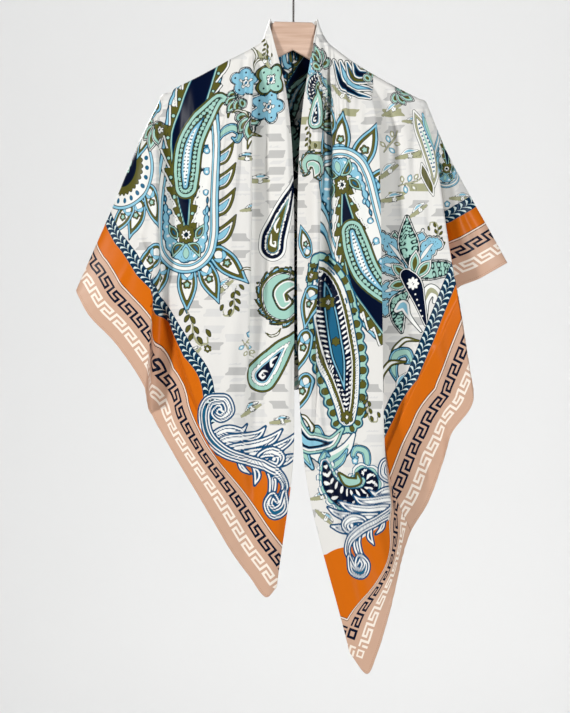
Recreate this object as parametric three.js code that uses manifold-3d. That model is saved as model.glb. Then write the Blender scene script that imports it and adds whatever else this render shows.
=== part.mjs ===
// A large square scarf, folded on the bias and hung round a wooden coat hanger like a shawl.
// The hanger's hook is held at the origin. X runs along the hanger, -Y is the front, Z is up. Millimetres.
//
// The square is folded corner to corner, so it hangs as a trapezoid: the long folded edge goes down one
// front, over the hanger's neck and down the other front, the two hemmed edges run from the front points to
// the elbows, and a short folded edge crosses the back.
//
// The cloth is worked out from fold lines. A fold line is a ridge or a valley that leaves the hanger's arm,
// falls to the hem and is given at five levels. A smooth curve runs down each fold line, and at every level
// another smooth curve joins the fold lines in order: the left front, round the back, the right front.
// The wall is that surface and the same surface moved in by the cloth's thickness.

import * as THREE from "three";
import { mergeVertices } from "three/addons/utils/BufferGeometryUtils.js";
import Module from "manifold-3d";

// Driving dimensions
const CLOTH_THICKNESS = 1.4; // four layers of silk with a little air between them
const SEAM_GAP = 0.4; // between two stretches of cloth
const ROLL_RADIUS = 10; // of the cloth over the hanger's arm
const ROLL_ANGLE = 83; // degrees from the crest to where the cloth leaves the arm
const HOOK_RISE = 84; // from the hook's crown down to the top of the wood

const WOOD_THICKNESS = 13;
const WOOD_NECK_WIDTH = 60;
const WOOD_NECK_HEIGHT = 39; // from the flat top down to the notch under the neck
const ARM_REACH = 177; // from the middle to the end of each arm
const ARM_END_DROP = 108.5;
const ARM_END_HEIGHT = 20;
const ARM_SLOPE = 0.53; // of the underside, in millimetres down for each one out
const WOOD_EDGE = 3; // rounding of the wood's edges
const HANGER_TILT = 1.4; // degrees, lower on the side of the longer point

const WIRE_RADIUS = 1.4;
const HOOK_RADIUS = 22; // of the wire's centreline
const SHANK_STRAIGHT = 29; // above the wood
const SHANK_BURIED = 12;
const BORE_CLEARANCE = 0.35;

// How finely the cloth is divided
const STEPS_PER_FOLD = 3;
const ROLL_STEPS = 3;
const DROP_STEPS = 19;

// Fold lines, in columns: name, top, heading, chest, waist, low and hem. top is [x, drop], or [x, y, drop]
// where the edge of the cloth lies behind the wood instead of rolling over the arm. heading is the way the
// cloth leaves the arm in plan, in degrees: -90 is the front. chest, waist, low and hem are [x, y, drop].
// Drops are measured down from the top of the wood.
const LEFT_FRONT = [
  ["folded edge", [-33, -4.5], -90, [-8, -22, 110], [1, -30, 303], [1, -34, 565], [-23, -30, 780]],
  ["point", [-38, 10], -90, [-17, -27, 110], [-9, -36, 303], [-13, -38, 565], [-37, -33, 794]],
  ["collar valley", [-44, 26], -90, [-52, -20, 110], [-53, -25, 303], [-54, -31, 537], [-61, -31, 765]],
  ["collar ridge", [-56, 35], -90, [-61, -31, 110], [-61, -39, 303], [-69, -39, 524], [-85, -34, 732]],
  ["breast ridge", [-85, 50], -90, [-93, -34, 123], [-99, -46, 289], [-112, -46, 468], [-125, -37, 664]],
  ["breast valley", [-129, 74], -90, [-143, -24, 144], [-146, -33, 289], [-153, -37, 427], [-165, -31, 598]],
  ["sleeve valley", [-163, 91], -90, [-177, -17, 154], [-180, -21, 275], [-181, -20, 400], [-195, -17, 544]],
  ["sleeve ridge", [-174, 98], -105, [-190, -27, 158], [-190, -41, 275], [-194, -45, 386], [-204, -43, 507]],
  ["sleeve slope", [-175, 98], -140, [-206, -18, 165], [-221, -25, 255], [-234, -29, 344], [-245, -28, 445]],
  ["elbow slope", [-175, 98], -160, [-213, -10, 169], [-235, -14, 248], [-258, -17, 330], [-283, -17, 405]],
];
const LEFT_ELBOW = [
  ["left elbow", [-175, 98], 180, [-216, 0, 172], [-244, 0, 241], [-274, 0, 310], [-301, 0, 371]],
];
const BACK = [
  ["elbow turn", [-175, 98], 150, [-206, 15, 179], [-222, 22, 255], [-245, 25, 328], [-262, 23, 391]],
  ["left blade valley", [-157, 89], 90, [-165, 14, 170], [-175, 14, 260], [-185, 15, 350], [-190, 18, 446]],
  ["left blade ridge", [-112, 65], 90, [-118, 25, 165], [-124, 37, 275], [-129, 41, 385], [-131, 41, 477]],
  ["left spine valley", [-67, 42], 90, [-72, 19, 150], [-76, 23, 275], [-80, 25, 400], [-82, 26, 497]],
  ["left neck ridge", [-44, 26], 90, [-48, 26, 140], [-52, 38, 270], [-54, 44, 400], [-56, 46, 502]],
  ["left neck corner", [-33, -4.5], 90, [-34, 22, 135], [-36, 34, 270], [-38, 39, 400], [-38, 40, 505]],
  ["left neckline", [-30, 10.5, -1], null, [-25, 19, 132], [-26, 29, 268], [-27, 33, 400], [-26, 34, 507]],
  ["left neckline dip", [-22, 11, 11], null, [-14, 18, 132], [-14, 28, 268], [-14, 32, 400], [-12, 33, 508]],
  ["neckline middle", [0, 11.5, 24], null, [2, 18, 132], [3, 30, 268], [4, 34, 400], [4, 34, 509]],
  ["right neckline dip", [22, 11, 11], null, [17, 20, 132], [18, 34, 268], [20, 40, 400], [20, 40, 508]],
  ["right neckline", [30, 10.5, -1], null, [28, 22, 132], [31, 38, 268], [34, 46, 400], [36, 46, 507]],
  ["right neck corner", [33, -4.5], 90, [38, 24, 135], [44, 40, 270], [48, 48, 400], [52, 48, 505]],
  ["right neck ridge", [44, 24], 90, [52, 20, 140], [60, 32, 270], [66, 38, 400], [70, 38, 500]],
  ["right spine valley", [74, 49], 90, [84, 15, 150], [94, 20, 270], [102, 24, 380], [106, 26, 487]],
  ["right blade ridge", [117, 76], 90, [128, 26, 165], [140, 38, 265], [148, 43, 360], [150, 42, 448]],
  ["right blade valley", [158, 98], 90, [172, 14, 176], [190, 16, 250], [199, 16, 325], [204, 15, 388]],
  ["flap turn", [176, 107], 35, [204, 14, 182], [226, 17, 240], [247, 17, 298], [262, 16, 345]],
];
const RIGHT_ELBOW = [
  ["right elbow", [176, 107], 0, [213, 0, 181], [241, 0, 234], [268, 0, 282], [296, 0, 333]],
];
const FLAP = [
  ["flap middle", [176, 107], -35, [204, -9, 186], [224, -12, 245], [242, -13, 300], [261, -11, 353]],
  ["flap valley", [176, 107], -62, [191, -6, 184], [200, -5, 252], [206, -3, 320], [211, -2, 384]],
];
const RIGHT_SIDE = [
  ["side ridge", [174, 106], -80, [193, -27, 172], [213, -35, 303], [233, -37, 420], [248, -33, 517]],
  ["side slope", [164, 101], -90, [178, -30, 166], [197, -38, 310], [213, -36, 455], [217, -34, 570]],
  ["side middle", [150, 95], -90, [161, -31, 158], [177, -41, 317], [193, -37, 490], [205, -20, 612]],
  ["side inner", [126, 81], -90, [132, -28, 151], [141, -36, 351], [159, -32, 565], [186, -13, 664]],
];
const RIGHT_PLEAT = [
  ["hidden valley", [110, 72], -90, [109, -25, 150], [112, -33, 361], [133, -27, 631], [162, -17, 704]],
];
const RIGHT_FRONT = [
  ["pleat edge", [101, 67], -90, [115, -47, 147], [121, -60, 358], [129, -45, 634], [150, -24, 739]],
  ["pleat middle", [81, 54], -90, [84, -46, 144], [89, -57, 351], [98, -54, 627], [143, -30, 769]],
  ["pleat start", [60, 38], -90, [54, -38, 137], [53, -42, 344], [69, -48, 620], [136, -34, 800]],
  ["collar valley", [50, 30], -90, [43, -24, 135], [40, -37, 341], [55, -47, 613], [129, -38, 826]],
  ["collar ridge", [43, 20], -90, [34, -42, 130], [30, -50, 337], [42, -51, 606], [115, -41, 871]],
  ["point", [38, 9], -90, [21, -33, 126], [15, -42, 333], [28, -47, 600], [101, -40, 899]],
  ["folded edge", [33, -4.5], -90, [12, -26, 124], [5, -36, 330], [13, -42, 593], [77, -36, 870]],
];
const FOLD_LINES = [
  ...LEFT_FRONT,
  ...LEFT_ELBOW,
  ...BACK,
  ...RIGHT_ELBOW,
  ...FLAP,
  ...RIGHT_SIDE,
  ...RIGHT_PLEAT,
  ...RIGHT_FRONT,
].map(([name, top, heading, chest, waist, low, hem]) => ({ name, top, heading, chest, waist, low, hem }));

// Each stretch of cloth that is a piece of its own, by the numbers of its first and last fold lines
const leftElbow = LEFT_FRONT.length;
const rightElbow = leftElbow + 1 + BACK.length;
const sideRidge = rightElbow + 1 + FLAP.length;
const pleatValley = sideRidge + RIGHT_SIDE.length;
const STRETCHES = [
  { name: "left_front_fall", first: 0, last: leftElbow, colour: 0xe9e4da },
  { name: "back_panel", first: leftElbow, last: rightElbow, colour: 0xd9dcd6 },
  { name: "right_elbow_flap", first: rightElbow, last: sideRidge, colour: 0xc9662a },
  { name: "right_side_panel", first: sideRidge, last: pleatValley, colour: 0xe2ddd4 },
  { name: "right_front_fall", first: pleatValley, last: FOLD_LINES.length - 1, colour: 0x8fb9bd },
];

// A smooth curve through points that never swings past them: each piece is a cubic, with knots spaced by the
// root of the distance. Where x, y or z turns back at a point its slope there is nought, else it is the
// weighted mean of the two chords beside the point, held to three times the smaller one.
function smoothCurve(points) {
  const gaps = points.slice(1).map((p, i) => Math.sqrt(p.distanceTo(points[i])));
  const chords = gaps.map((gap, i) => points[i + 1].clone().sub(points[i]).divideScalar(gap));
  const meet = (before, after, gapBefore, gapAfter) => {
    if (before * after <= 0) return 0;
    const mean = (before * gapAfter + after * gapBefore) / (gapBefore + gapAfter);
    const limit = 3 * Math.min(Math.abs(before), Math.abs(after));
    return Math.sign(mean) * Math.min(Math.abs(mean), limit);
  };
  const slopes = points.map((_, i) => {
    const before = chords[Math.max(i - 1, 0)];
    const after = chords[Math.min(i, chords.length - 1)];
    const gapBefore = gaps[Math.max(i - 1, 0)];
    const gapAfter = gaps[Math.min(i, gaps.length - 1)];
    return new THREE.Vector3(
      meet(before.x, after.x, gapBefore, gapAfter),
      meet(before.y, after.y, gapBefore, gapAfter),
      meet(before.z, after.z, gapBefore, gapAfter),
    );
  });
  return (piece, t) => {
    const gap = gaps[piece];
    const t2 = t * t;
    const t3 = t2 * t;
    return points[piece]
      .clone()
      .multiplyScalar(2 * t3 - 3 * t2 + 1)
      .addScaledVector(slopes[piece], (t3 - 2 * t2 + t) * gap)
      .addScaledVector(points[piece + 1], 3 * t2 - 2 * t3)
      .addScaledVector(slopes[piece + 1], (t3 - t2) * gap);
  };
}

const down = (x, y, drop) => new THREE.Vector3(x, y, -HOOK_RISE - drop);

// The points down one fold line: over the arm as part of a circle, then the smooth fall to the hem.
function foldLinePoints(fold) {
  const rolls = fold.top.length === 2;
  const [x, y, drop] = rolls ? [fold.top[0], 0, fold.top[1]] : fold.top;
  const heading = THREE.MathUtils.degToRad(fold.heading ?? 0);
  const startAngle = rolls ? Math.asin(SEAM_GAP / 2 / ROLL_RADIUS) : 0;
  const rollAngle = THREE.MathUtils.degToRad(ROLL_ANGLE);
  const points = [];
  for (let i = 0; i < ROLL_STEPS; i++) {
    const angle = startAngle + ((rollAngle - startAngle) * i) / ROLL_STEPS;
    const reach = rolls ? ROLL_RADIUS * Math.sin(angle) : 0;
    const fall = ROLL_RADIUS * (1 - Math.cos(angle));
    points.push(down(x + reach * Math.cos(heading), y + reach * Math.sin(heading), drop + fall));
  }
  const side = rolls ? ROLL_RADIUS * Math.sin(rollAngle) : 0;
  const rolled = ROLL_RADIUS * (1 - Math.cos(rollAngle));
  const leaving = down(x + side * Math.cos(heading), y + side * Math.sin(heading), drop + rolled);
  const stations = [leaving, down(...fold.chest), down(...fold.waist), down(...fold.low), down(...fold.hem)];
  const curve = smoothCurve(stations);
  const lengths = stations.slice(1).map((p, i) => p.distanceTo(stations[i]));
  const total = lengths.reduce((a, b) => a + b, 0);
  for (let i = 0; i <= DROP_STEPS; i++) {
    let rest = (total * i) / DROP_STEPS;
    let piece = 0;
    while (piece < lengths.length - 1 && rest > lengths[piece]) rest -= lengths[piece++];
    points.push(curve(piece, Math.min(1, rest / lengths[piece])));
  }
  return points;
}

const foldPoints = FOLD_LINES.map(foldLinePoints);
const ROWS = foldPoints[0].length;

// The cloth's outer face as rows from the arm to the hem, with STEPS_PER_FOLD points from fold to fold.
const faceRows = Array.from({ length: ROWS }, (_, row) => {
  const curve = smoothCurve(foldPoints.map((points) => points[row]));
  const made = [];
  for (let piece = 0; piece < FOLD_LINES.length - 1; piece++) {
    for (let step = 0; step < STEPS_PER_FOLD; step++) made.push(curve(piece, step / STEPS_PER_FOLD));
  }
  made.push(foldPoints[FOLD_LINES.length - 1][row].clone());
  return made;
});

// The outward direction at a point of the grid, from the points on each side of it. Along the crest of the
// arm it has no part across the arm, so that the front and the back keep their gap all through the wall.
function outward(row, column) {
  const line = faceRows[row];
  const along = line[Math.min(column + 1, line.length - 1)].clone().sub(line[Math.max(column - 1, 0)]);
  const above = faceRows[Math.max(row - 1, 0)][column];
  const fall = faceRows[Math.min(row + 1, ROWS - 1)][column].clone().sub(above);
  const normal = along.cross(fall).normalize();
  if (row > 0 || !rollsAt(column)) return normal;
  const across = faceRows[1][column].clone().sub(line[column]).setZ(0).normalize();
  return normal.addScaledVector(across, -normal.dot(across)).normalize();
}

// Whether a column of the grid lies on or between fold lines that roll over the arm.
function rollsAt(column) {
  const before = FOLD_LINES[Math.floor(column / STEPS_PER_FOLD)];
  const after = FOLD_LINES[Math.ceil(column / STEPS_PER_FOLD)];
  return before.top.length === 2 && after.top.length === 2;
}

// A closed wall over the columns from..to of the grid, its two cut ends drawn back to leave the seam's gap.
function wall(from, to) {
  const trimStart = from > 0;
  const trimEnd = to < faceRows[0].length - 1;
  const columns = to - from + 1;
  const outer = [];
  const inner = [];
  for (let row = 0; row < ROWS; row++) {
    for (let column = from; column <= to; column++) {
      const point = faceRows[row][column].clone();
      const normal = outward(row, column);
      const neighbour = column === from && trimStart ? 1 : column === to && trimEnd ? -1 : 0;
      if (neighbour) {
        const along = faceRows[row][column + neighbour].clone().sub(point);
        point.addScaledVector(along.normalize(), Math.min(SEAM_GAP / 2, along.length() / 2));
      }
      outer.push(point);
      inner.push(point.clone().addScaledVector(normal, -CLOTH_THICKNESS));
    }
  }
  const positions = [...outer, ...inner].flatMap((p) => p.toArray());
  const at = (row, column) => row * columns + column;
  const shift = outer.length;
  const faces = [];
  const quad = (a, b, c, d) => faces.push(a, b, c, a, c, d);
  for (let row = 0; row < ROWS - 1; row++) {
    for (let column = 0; column < columns - 1; column++) {
      const corner = [at(row, column), at(row, column + 1), at(row + 1, column + 1), at(row + 1, column)];
      quad(corner[0], corner[1], corner[2], corner[3]);
      quad(shift + corner[3], shift + corner[2], shift + corner[1], shift + corner[0]);
    }
  }
  const rim = [];
  for (let column = 0; column < columns - 1; column++) rim.push(at(0, column));
  for (let row = 0; row < ROWS - 1; row++) rim.push(at(row, columns - 1));
  for (let column = columns - 1; column > 0; column--) rim.push(at(ROWS - 1, column));
  for (let row = ROWS - 1; row > 0; row--) rim.push(at(row, 0));
  rim.forEach((a, i) => {
    const b = rim[(i + 1) % rim.length];
    quad(b, a, shift + a, shift + b);
  });
  const geometry = new THREE.BufferGeometry();
  geometry.setAttribute("position", new THREE.Float32BufferAttribute(positions, 3));
  geometry.setIndex(faces);
  return geometry;
}

// Solids for cutting
const wasm = await Module();
wasm.setup();

function toSolid(geometry) {
  const bare = geometry.clone();
  bare.deleteAttribute("normal");
  bare.deleteAttribute("uv");
  const merged = mergeVertices(bare, 1e-4);
  return new wasm.Manifold(
    new wasm.Mesh({
      numProp: 3,
      vertProperties: new Float32Array(merged.attributes.position.array),
      triVerts: new Uint32Array(merged.index.array),
    }),
  );
}

function toGeometry(solid) {
  const mesh = solid.getMesh();
  const geometry = new THREE.BufferGeometry();
  geometry.setAttribute("position", new THREE.BufferAttribute(mesh.vertProperties, 3));
  geometry.setIndex(new THREE.BufferAttribute(mesh.triVerts, 1));
  return geometry;
}

// The wooden hanger: a flat plank cut as a shallow chevron under a flat-topped neck, drawn in X and drop.
function hangerGeometry() {
  const neck = WOOD_NECK_WIDTH / 2;
  const inset = WOOD_EDGE;
  const outline = new THREE.Shape();
  const half = [
    [neck - 4, 0],
    [neck, 4],
    [neck + 3, 22],
    [neck + 13, 36],
    [ARM_REACH - 8, ARM_END_DROP - 4],
    [ARM_REACH, ARM_END_DROP + 2],
    [ARM_REACH, ARM_END_DROP + ARM_END_HEIGHT - 4],
    [ARM_REACH - 5, ARM_END_DROP + ARM_END_HEIGHT],
    [neck + 24, WOOD_NECK_HEIGHT + ARM_SLOPE * (neck + 24)],
  ];
  const mirrored = half.map(([x, drop]) => [-x, drop]).reverse();
  const ring = [...half, [0, WOOD_NECK_HEIGHT], ...mirrored];
  outline.setFromPoints(ring.map(([x, drop]) => new THREE.Vector2(x, -drop)));
  outline.closePath();
  const geometry = new THREE.ExtrudeGeometry(outline, {
    depth: WOOD_THICKNESS - 2 * inset,
    bevelEnabled: true,
    bevelThickness: inset,
    bevelSize: inset,
    bevelOffset: -inset,
    bevelSegments: 2,
    steps: 1,
  });
  geometry.translate(0, 0, -WOOD_THICKNESS / 2 + inset);
  geometry.rotateX(Math.PI / 2);
  geometry.rotateY(THREE.MathUtils.degToRad(HANGER_TILT));
  geometry.translate(0, 0, -HOOK_RISE);
  const bore = new THREE.CylinderGeometry(
    WIRE_RADIUS + BORE_CLEARANCE,
    WIRE_RADIUS + BORE_CLEARANCE,
    2 * (SHANK_BURIED + BORE_CLEARANCE),
    16,
  );
  bore.rotateX(Math.PI / 2);
  bore.translate(0, 0, -HOOK_RISE);
  return toGeometry(toSolid(geometry).subtract(toSolid(bore)));
}

// The hook: a straight shank, a bend to one side and three quarters of a circle over the origin.
function hookGeometry() {
  const crown = WIRE_RADIUS;
  const centre = crown - HOOK_RADIUS;
  const path = new THREE.CurvePath();
  const shankTop = new THREE.Vector3(0, 0, -HOOK_RISE + SHANK_STRAIGHT);
  const joins = THREE.MathUtils.degToRad(-38);
  const tip = THREE.MathUtils.degToRad(205);
  const onCircle = (angle) =>
    new THREE.Vector3(HOOK_RADIUS * Math.cos(angle), 0, centre + HOOK_RADIUS * Math.sin(angle));
  const join = onCircle(joins);
  const tangent = new THREE.Vector3(-Math.sin(joins), 0, Math.cos(joins));
  path.add(new THREE.LineCurve3(new THREE.Vector3(0, 0, -HOOK_RISE - SHANK_BURIED), shankTop));
  path.add(
    new THREE.CubicBezierCurve3(
      shankTop,
      shankTop.clone().add(new THREE.Vector3(0, 0, 9)),
      join.clone().addScaledVector(tangent, -10),
      join,
    ),
  );
  class Arc extends THREE.Curve {
    getPoint(t) {
      return onCircle(joins + (tip - joins) * t);
    }
  }
  path.add(new Arc());
  const section = new THREE.Shape();
  section.absarc(0, 0, WIRE_RADIUS, 0, 2 * Math.PI, false);
  return new THREE.ExtrudeGeometry(section, { extrudePath: path, steps: 56, curveSegments: 5 });
}

function named(name, geometry, colour, roughness, metalness) {
  const material = new THREE.MeshStandardMaterial({ color: colour, roughness, metalness });
  const mesh = new THREE.Mesh(geometry, material);
  mesh.name = name;
  return mesh;
}

const scarf = new THREE.Group();
for (const { name, first, last, colour } of STRETCHES) {
  scarf.add(named(name, wall(first * STEPS_PER_FOLD, last * STEPS_PER_FOLD), colour, 0.35, 0));
}

const hanger = new THREE.Group();
hanger.add(named("hanger_wood", hangerGeometry(), 0xd9b48f, 0.55, 0));
hanger.add(named("hanger_hook", hookGeometry(), 0x2b2b2d, 0.35, 0.9));

const part = new THREE.Group();
part.add(scarf, hanger);
export default part;
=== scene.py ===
# %% [markdown]
# # A printed silk square, folded on the bias and hung on a wooden hanger
#
# The real object is one square of satin, 130 cm on a side, folded corner to corner and hung round a coat
# hanger like a shawl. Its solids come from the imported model. This notebook builds the looks around them:
# the thin draped cloth, its screen printed pattern, the satin, the wood and the wire.
#
# Lengths are worked out in millimetres, because that is how cloth is measured, and become metres when a
# mesh is made. X runs along the hanger, -Y is the front and Z is up. The hook's crown is the origin.

# %% Load the frame
import math

import bpy
import numpy as np
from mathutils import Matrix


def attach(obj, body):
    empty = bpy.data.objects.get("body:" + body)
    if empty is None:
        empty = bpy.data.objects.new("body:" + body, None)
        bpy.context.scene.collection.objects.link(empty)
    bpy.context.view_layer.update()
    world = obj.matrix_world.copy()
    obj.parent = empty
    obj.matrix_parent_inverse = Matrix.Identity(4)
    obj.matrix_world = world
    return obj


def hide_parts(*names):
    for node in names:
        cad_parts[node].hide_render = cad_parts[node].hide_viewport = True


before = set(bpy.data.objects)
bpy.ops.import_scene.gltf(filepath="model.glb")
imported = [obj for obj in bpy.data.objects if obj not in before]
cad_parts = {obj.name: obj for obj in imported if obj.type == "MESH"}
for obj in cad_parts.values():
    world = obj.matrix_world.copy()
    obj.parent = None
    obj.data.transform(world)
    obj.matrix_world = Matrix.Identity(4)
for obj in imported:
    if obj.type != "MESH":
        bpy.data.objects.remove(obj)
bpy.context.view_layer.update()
scene = bpy.context.scene
print("nodes:", sorted(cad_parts))

# %% [markdown]
# ## The view
#
# The photograph looks straight at the scarf from some way off, so a long lens is used. One pixel of its
# 570 by 713 frame is 1.377 mm at the cloth, the hook is over column 293.5 and the top of the wood lies at
# row 20.5. The focal length follows from the frame's height and the distance.

# %% Camera
PIXEL = 1.377
PHOTO_WIDTH, PHOTO_HEIGHT = 570, 713
HOOK_COLUMN, WOOD_ROW = 293.5, 20.5
WOOD_TOP = -84.0
FRAME_CENTRE = ((PHOTO_WIDTH / 2 - HOOK_COLUMN) * PIXEL, WOOD_TOP - (PHOTO_HEIGHT / 2 - WOOD_ROW) * PIXEL)
DISTANCE = 6.0
CLOTH_FRONT = 0.03
SENSOR = 24


def add_object(name, data):
    """An object with its data, linked into the scene."""
    made = bpy.data.objects.new(name, data)
    scene.collection.objects.link(made)
    return made


lens = bpy.data.cameras.new("studio_camera")
lens.sensor_fit = "VERTICAL"
lens.sensor_height = SENSOR
lens.lens = SENSOR * (DISTANCE - CLOTH_FRONT) / (PHOTO_HEIGHT * PIXEL / 1000)
lens.clip_end = 40
camera = add_object("studio_camera", lens)
camera.location = (FRAME_CENTRE[0] / 1000, -DISTANCE, FRAME_CENTRE[1] / 1000)
camera.rotation_euler = (math.radians(90), 0, 0)
scene.camera = camera
print("focal length", round(lens.lens, 1), "mm")

# %% [markdown]
# The backdrop is a sheet of pale paper that hangs behind the scarf and curves out into a floor. Its profile
# is a straight wall, a quarter circle and a flat floor, carried straight along X.


# %% Backdrop
def sweep_profile(name, profile, half_width, steps):
    """Carries a profile in Y and Z along X: point (i, j) is the profile's point j moved to x = x_i."""
    x = np.linspace(-half_width, half_width, steps)
    grid = np.stack(np.broadcast_arrays(x[:, None], profile[None, :, 0], profile[None, :, 1]), axis=-1)
    number = np.arange(grid.shape[0] * grid.shape[1]).reshape(grid.shape[:2])
    a, b, c, d = number[:-1, :-1], number[1:, :-1], number[1:, 1:], number[:-1, 1:]
    faces = np.stack([a, b, c, d], axis=-1).reshape(-1, 4)
    mesh = bpy.data.meshes.new(name)
    mesh.from_pydata(grid.reshape(-1, 3).tolist(), [], faces.tolist())
    mesh.shade_smooth()
    return add_object(name, mesh)


WALL, FLOOR, BEND = 7.4, -2.2, 0.8
turn = np.linspace(0, math.pi / 2, 16)
paper_profile = np.concatenate([
    [[WALL, 4.0]],
    np.stack([WALL - BEND + BEND * np.cos(turn), FLOOR + BEND - BEND * np.sin(turn)], axis=1),
    [[-5.0, FLOOR]],
])
backdrop = sweep_profile("backdrop_paper", paper_profile, 9.0, 2)
print("backdrop:", len(paper_profile), "profile points")

# %% [markdown]
# ## The light
#
# A key softbox stands at the left and in front, where the photograph's highlights come from, so every fold
# has a lit side and a shaded one. A larger one at the right opens the shadows, one behind lights the back,
# two more light the paper alone, and a faint pale light comes from all round.


# %% Lamps
def softbox(name, place, target, size, power, colour):
    """A square area lamp at place that faces target. Both are points in metres."""
    lamp = bpy.data.lights.new(name, "AREA")
    lamp.shape = "SQUARE"
    lamp.size = size
    lamp.energy = power
    lamp.color = colour
    holder = add_object(name, lamp)
    holder.location = place
    aim = np.array(target) - np.array(place)
    heading = math.atan2(aim[0], aim[1])
    rise = math.atan2(aim[2], math.hypot(aim[0], aim[1]))
    holder.rotation_euler = (math.pi / 2 + rise, 0, -heading)


LAMP_COLUMNS = ("name", "place", "target", "size", "power", "colour")
LAMPS = [dict(zip(LAMP_COLUMNS, row)) for row in [
    ("key_softbox", (-3.1, -2.1, 1.1), (0, 0, -0.5), 0.5, 120, (1.0, 0.99, 0.98)),
    ("front_softbox", (2.2, -3.4, 0.3), (0.1, 0, -0.5), 0.9, 112, (0.98, 0.99, 1.0)),
    ("back_softbox", (-1.6, 3.2, 1.0), (0, 0, -0.4), 1.0, 70, (1, 1, 1)),
    ("upper_wall_lamp", (0.3, 3.4, 2.8), (-0.3, 7.4, -0.2), 1.6, 112, (1, 1, 1)),
    ("lower_wall_lamp", (0.5, 3.8, -2.0), (0.1, 7.4, -1.0), 1.2, 102, (1, 1, 1)),
]]
for lamp in LAMPS:
    softbox(**lamp)

world = bpy.data.worlds.new("studio_air")
world.use_nodes = True
world.node_tree.nodes["Background"].inputs["Color"].default_value = (0.93, 0.95, 1.0, 1)
world.node_tree.nodes["Background"].inputs["Strength"].default_value = 0.12
scene.world = world
scene.view_settings.view_transform = "Standard"
print("lamps:", [lamp["name"] for lamp in LAMPS])

# %% [markdown]
# ## The drape
#
# Hung cloth is governed by its fold lines: the ridges and valleys that leave the hanger's arms and fall to
# the hem. Each row of these tables is one fold line, the same ones that the solids are made from. `top` is
# [x, drop], or [x, y, drop] where the cloth's edge lies behind the wood. `heading` is the way the cloth
# leaves the arm in plan. The last four columns are [x, y, drop], and drops are measured down from the top
# of the wood.

# %% Fold lines
FOLD_COLUMNS = ("name", "top", "heading", "chest", "waist", "low", "hem")
LEFT_FRONT = [
    ("folded edge", [-33, -4.5], -90, [-8, -22, 110], [1, -30, 303], [1, -34, 565], [-23, -30, 780]),
    ("point", [-38, 10], -90, [-17, -27, 110], [-9, -36, 303], [-13, -38, 565], [-37, -33, 794]),
    ("collar valley", [-44, 26], -90, [-52, -20, 110], [-53, -25, 303], [-54, -31, 537], [-61, -31, 765]),
    ("collar ridge", [-56, 35], -90, [-61, -31, 110], [-61, -39, 303], [-69, -39, 524], [-85, -34, 732]),
    ("breast ridge", [-85, 50], -90, [-93, -34, 123], [-99, -46, 289], [-112, -46, 468], [-125, -37, 664]),
    ("breast valley", [-129, 74], -90, [-143, -24, 144], [-146, -33, 289], [-153, -37, 427], [-165, -31, 598]),
    ("sleeve valley", [-163, 91], -90, [-177, -17, 154], [-180, -21, 275], [-181, -20, 400], [-195, -17, 544]),
    ("sleeve ridge", [-174, 98], -105, [-190, -27, 158], [-190, -41, 275], [-194, -45, 386], [-204, -43, 507]),
    ("sleeve slope", [-175, 98], -140, [-206, -18, 165], [-221, -25, 255], [-234, -29, 344], [-245, -28, 445]),
    ("elbow slope", [-175, 98], -160, [-213, -10, 169], [-235, -14, 248], [-258, -17, 330], [-283, -17, 405]),
]
LEFT_ELBOW = [
    ("left elbow", [-175, 98], 180, [-216, 0, 172], [-244, 0, 241], [-274, 0, 310], [-301, 0, 371]),
]
BACK = [
    ("elbow turn", [-175, 98], 150, [-206, 15, 179], [-222, 22, 255], [-245, 25, 328], [-262, 23, 391]),
    ("left blade valley", [-157, 89], 90, [-165, 14, 170], [-175, 14, 260], [-185, 15, 350], [-190, 18, 446]),
    ("left blade ridge", [-112, 65], 90, [-118, 25, 165], [-124, 37, 275], [-129, 41, 385], [-131, 41, 477]),
    ("left spine valley", [-67, 42], 90, [-72, 19, 150], [-76, 23, 275], [-80, 25, 400], [-82, 26, 497]),
    ("left neck ridge", [-44, 26], 90, [-48, 26, 140], [-52, 38, 270], [-54, 44, 400], [-56, 46, 502]),
    ("left neck corner", [-33, -4.5], 90, [-34, 22, 135], [-36, 34, 270], [-38, 39, 400], [-38, 40, 505]),
    ("left neckline", [-30, 10.5, -1], 0, [-25, 19, 132], [-26, 29, 268], [-27, 33, 400], [-26, 34, 507]),
    ("left neckline dip", [-22, 11, 11], 0, [-14, 18, 132], [-14, 28, 268], [-14, 32, 400], [-12, 33, 508]),
    ("neckline middle", [0, 11.5, 24], 0, [2, 18, 132], [3, 30, 268], [4, 34, 400], [4, 34, 509]),
    ("right neckline dip", [22, 11, 11], 0, [17, 20, 132], [18, 34, 268], [20, 40, 400], [20, 40, 508]),
    ("right neckline", [30, 10.5, -1], 0, [28, 22, 132], [31, 38, 268], [34, 46, 400], [36, 46, 507]),
    ("right neck corner", [33, -4.5], 90, [38, 24, 135], [44, 40, 270], [48, 48, 400], [52, 48, 505]),
    ("right neck ridge", [44, 24], 90, [52, 20, 140], [60, 32, 270], [66, 38, 400], [70, 38, 500]),
    ("right spine valley", [74, 49], 90, [84, 15, 150], [94, 20, 270], [102, 24, 380], [106, 26, 487]),
    ("right blade ridge", [117, 76], 90, [128, 26, 165], [140, 38, 265], [148, 43, 360], [150, 42, 448]),
    ("right blade valley", [158, 98], 90, [172, 14, 176], [190, 16, 250], [199, 16, 325], [204, 15, 388]),
    ("flap turn", [176, 107], 35, [204, 14, 182], [226, 17, 240], [247, 17, 298], [262, 16, 345]),
]
RIGHT_ELBOW = [
    ("right elbow", [176, 107], 0, [213, 0, 181], [241, 0, 234], [268, 0, 282], [296, 0, 333]),
]
FLAP = [
    ("flap middle", [176, 107], -35, [204, -9, 186], [224, -12, 245], [242, -13, 300], [261, -11, 353]),
    ("flap valley", [176, 107], -62, [191, -6, 184], [200, -5, 252], [206, -3, 320], [211, -2, 384]),
]
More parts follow.
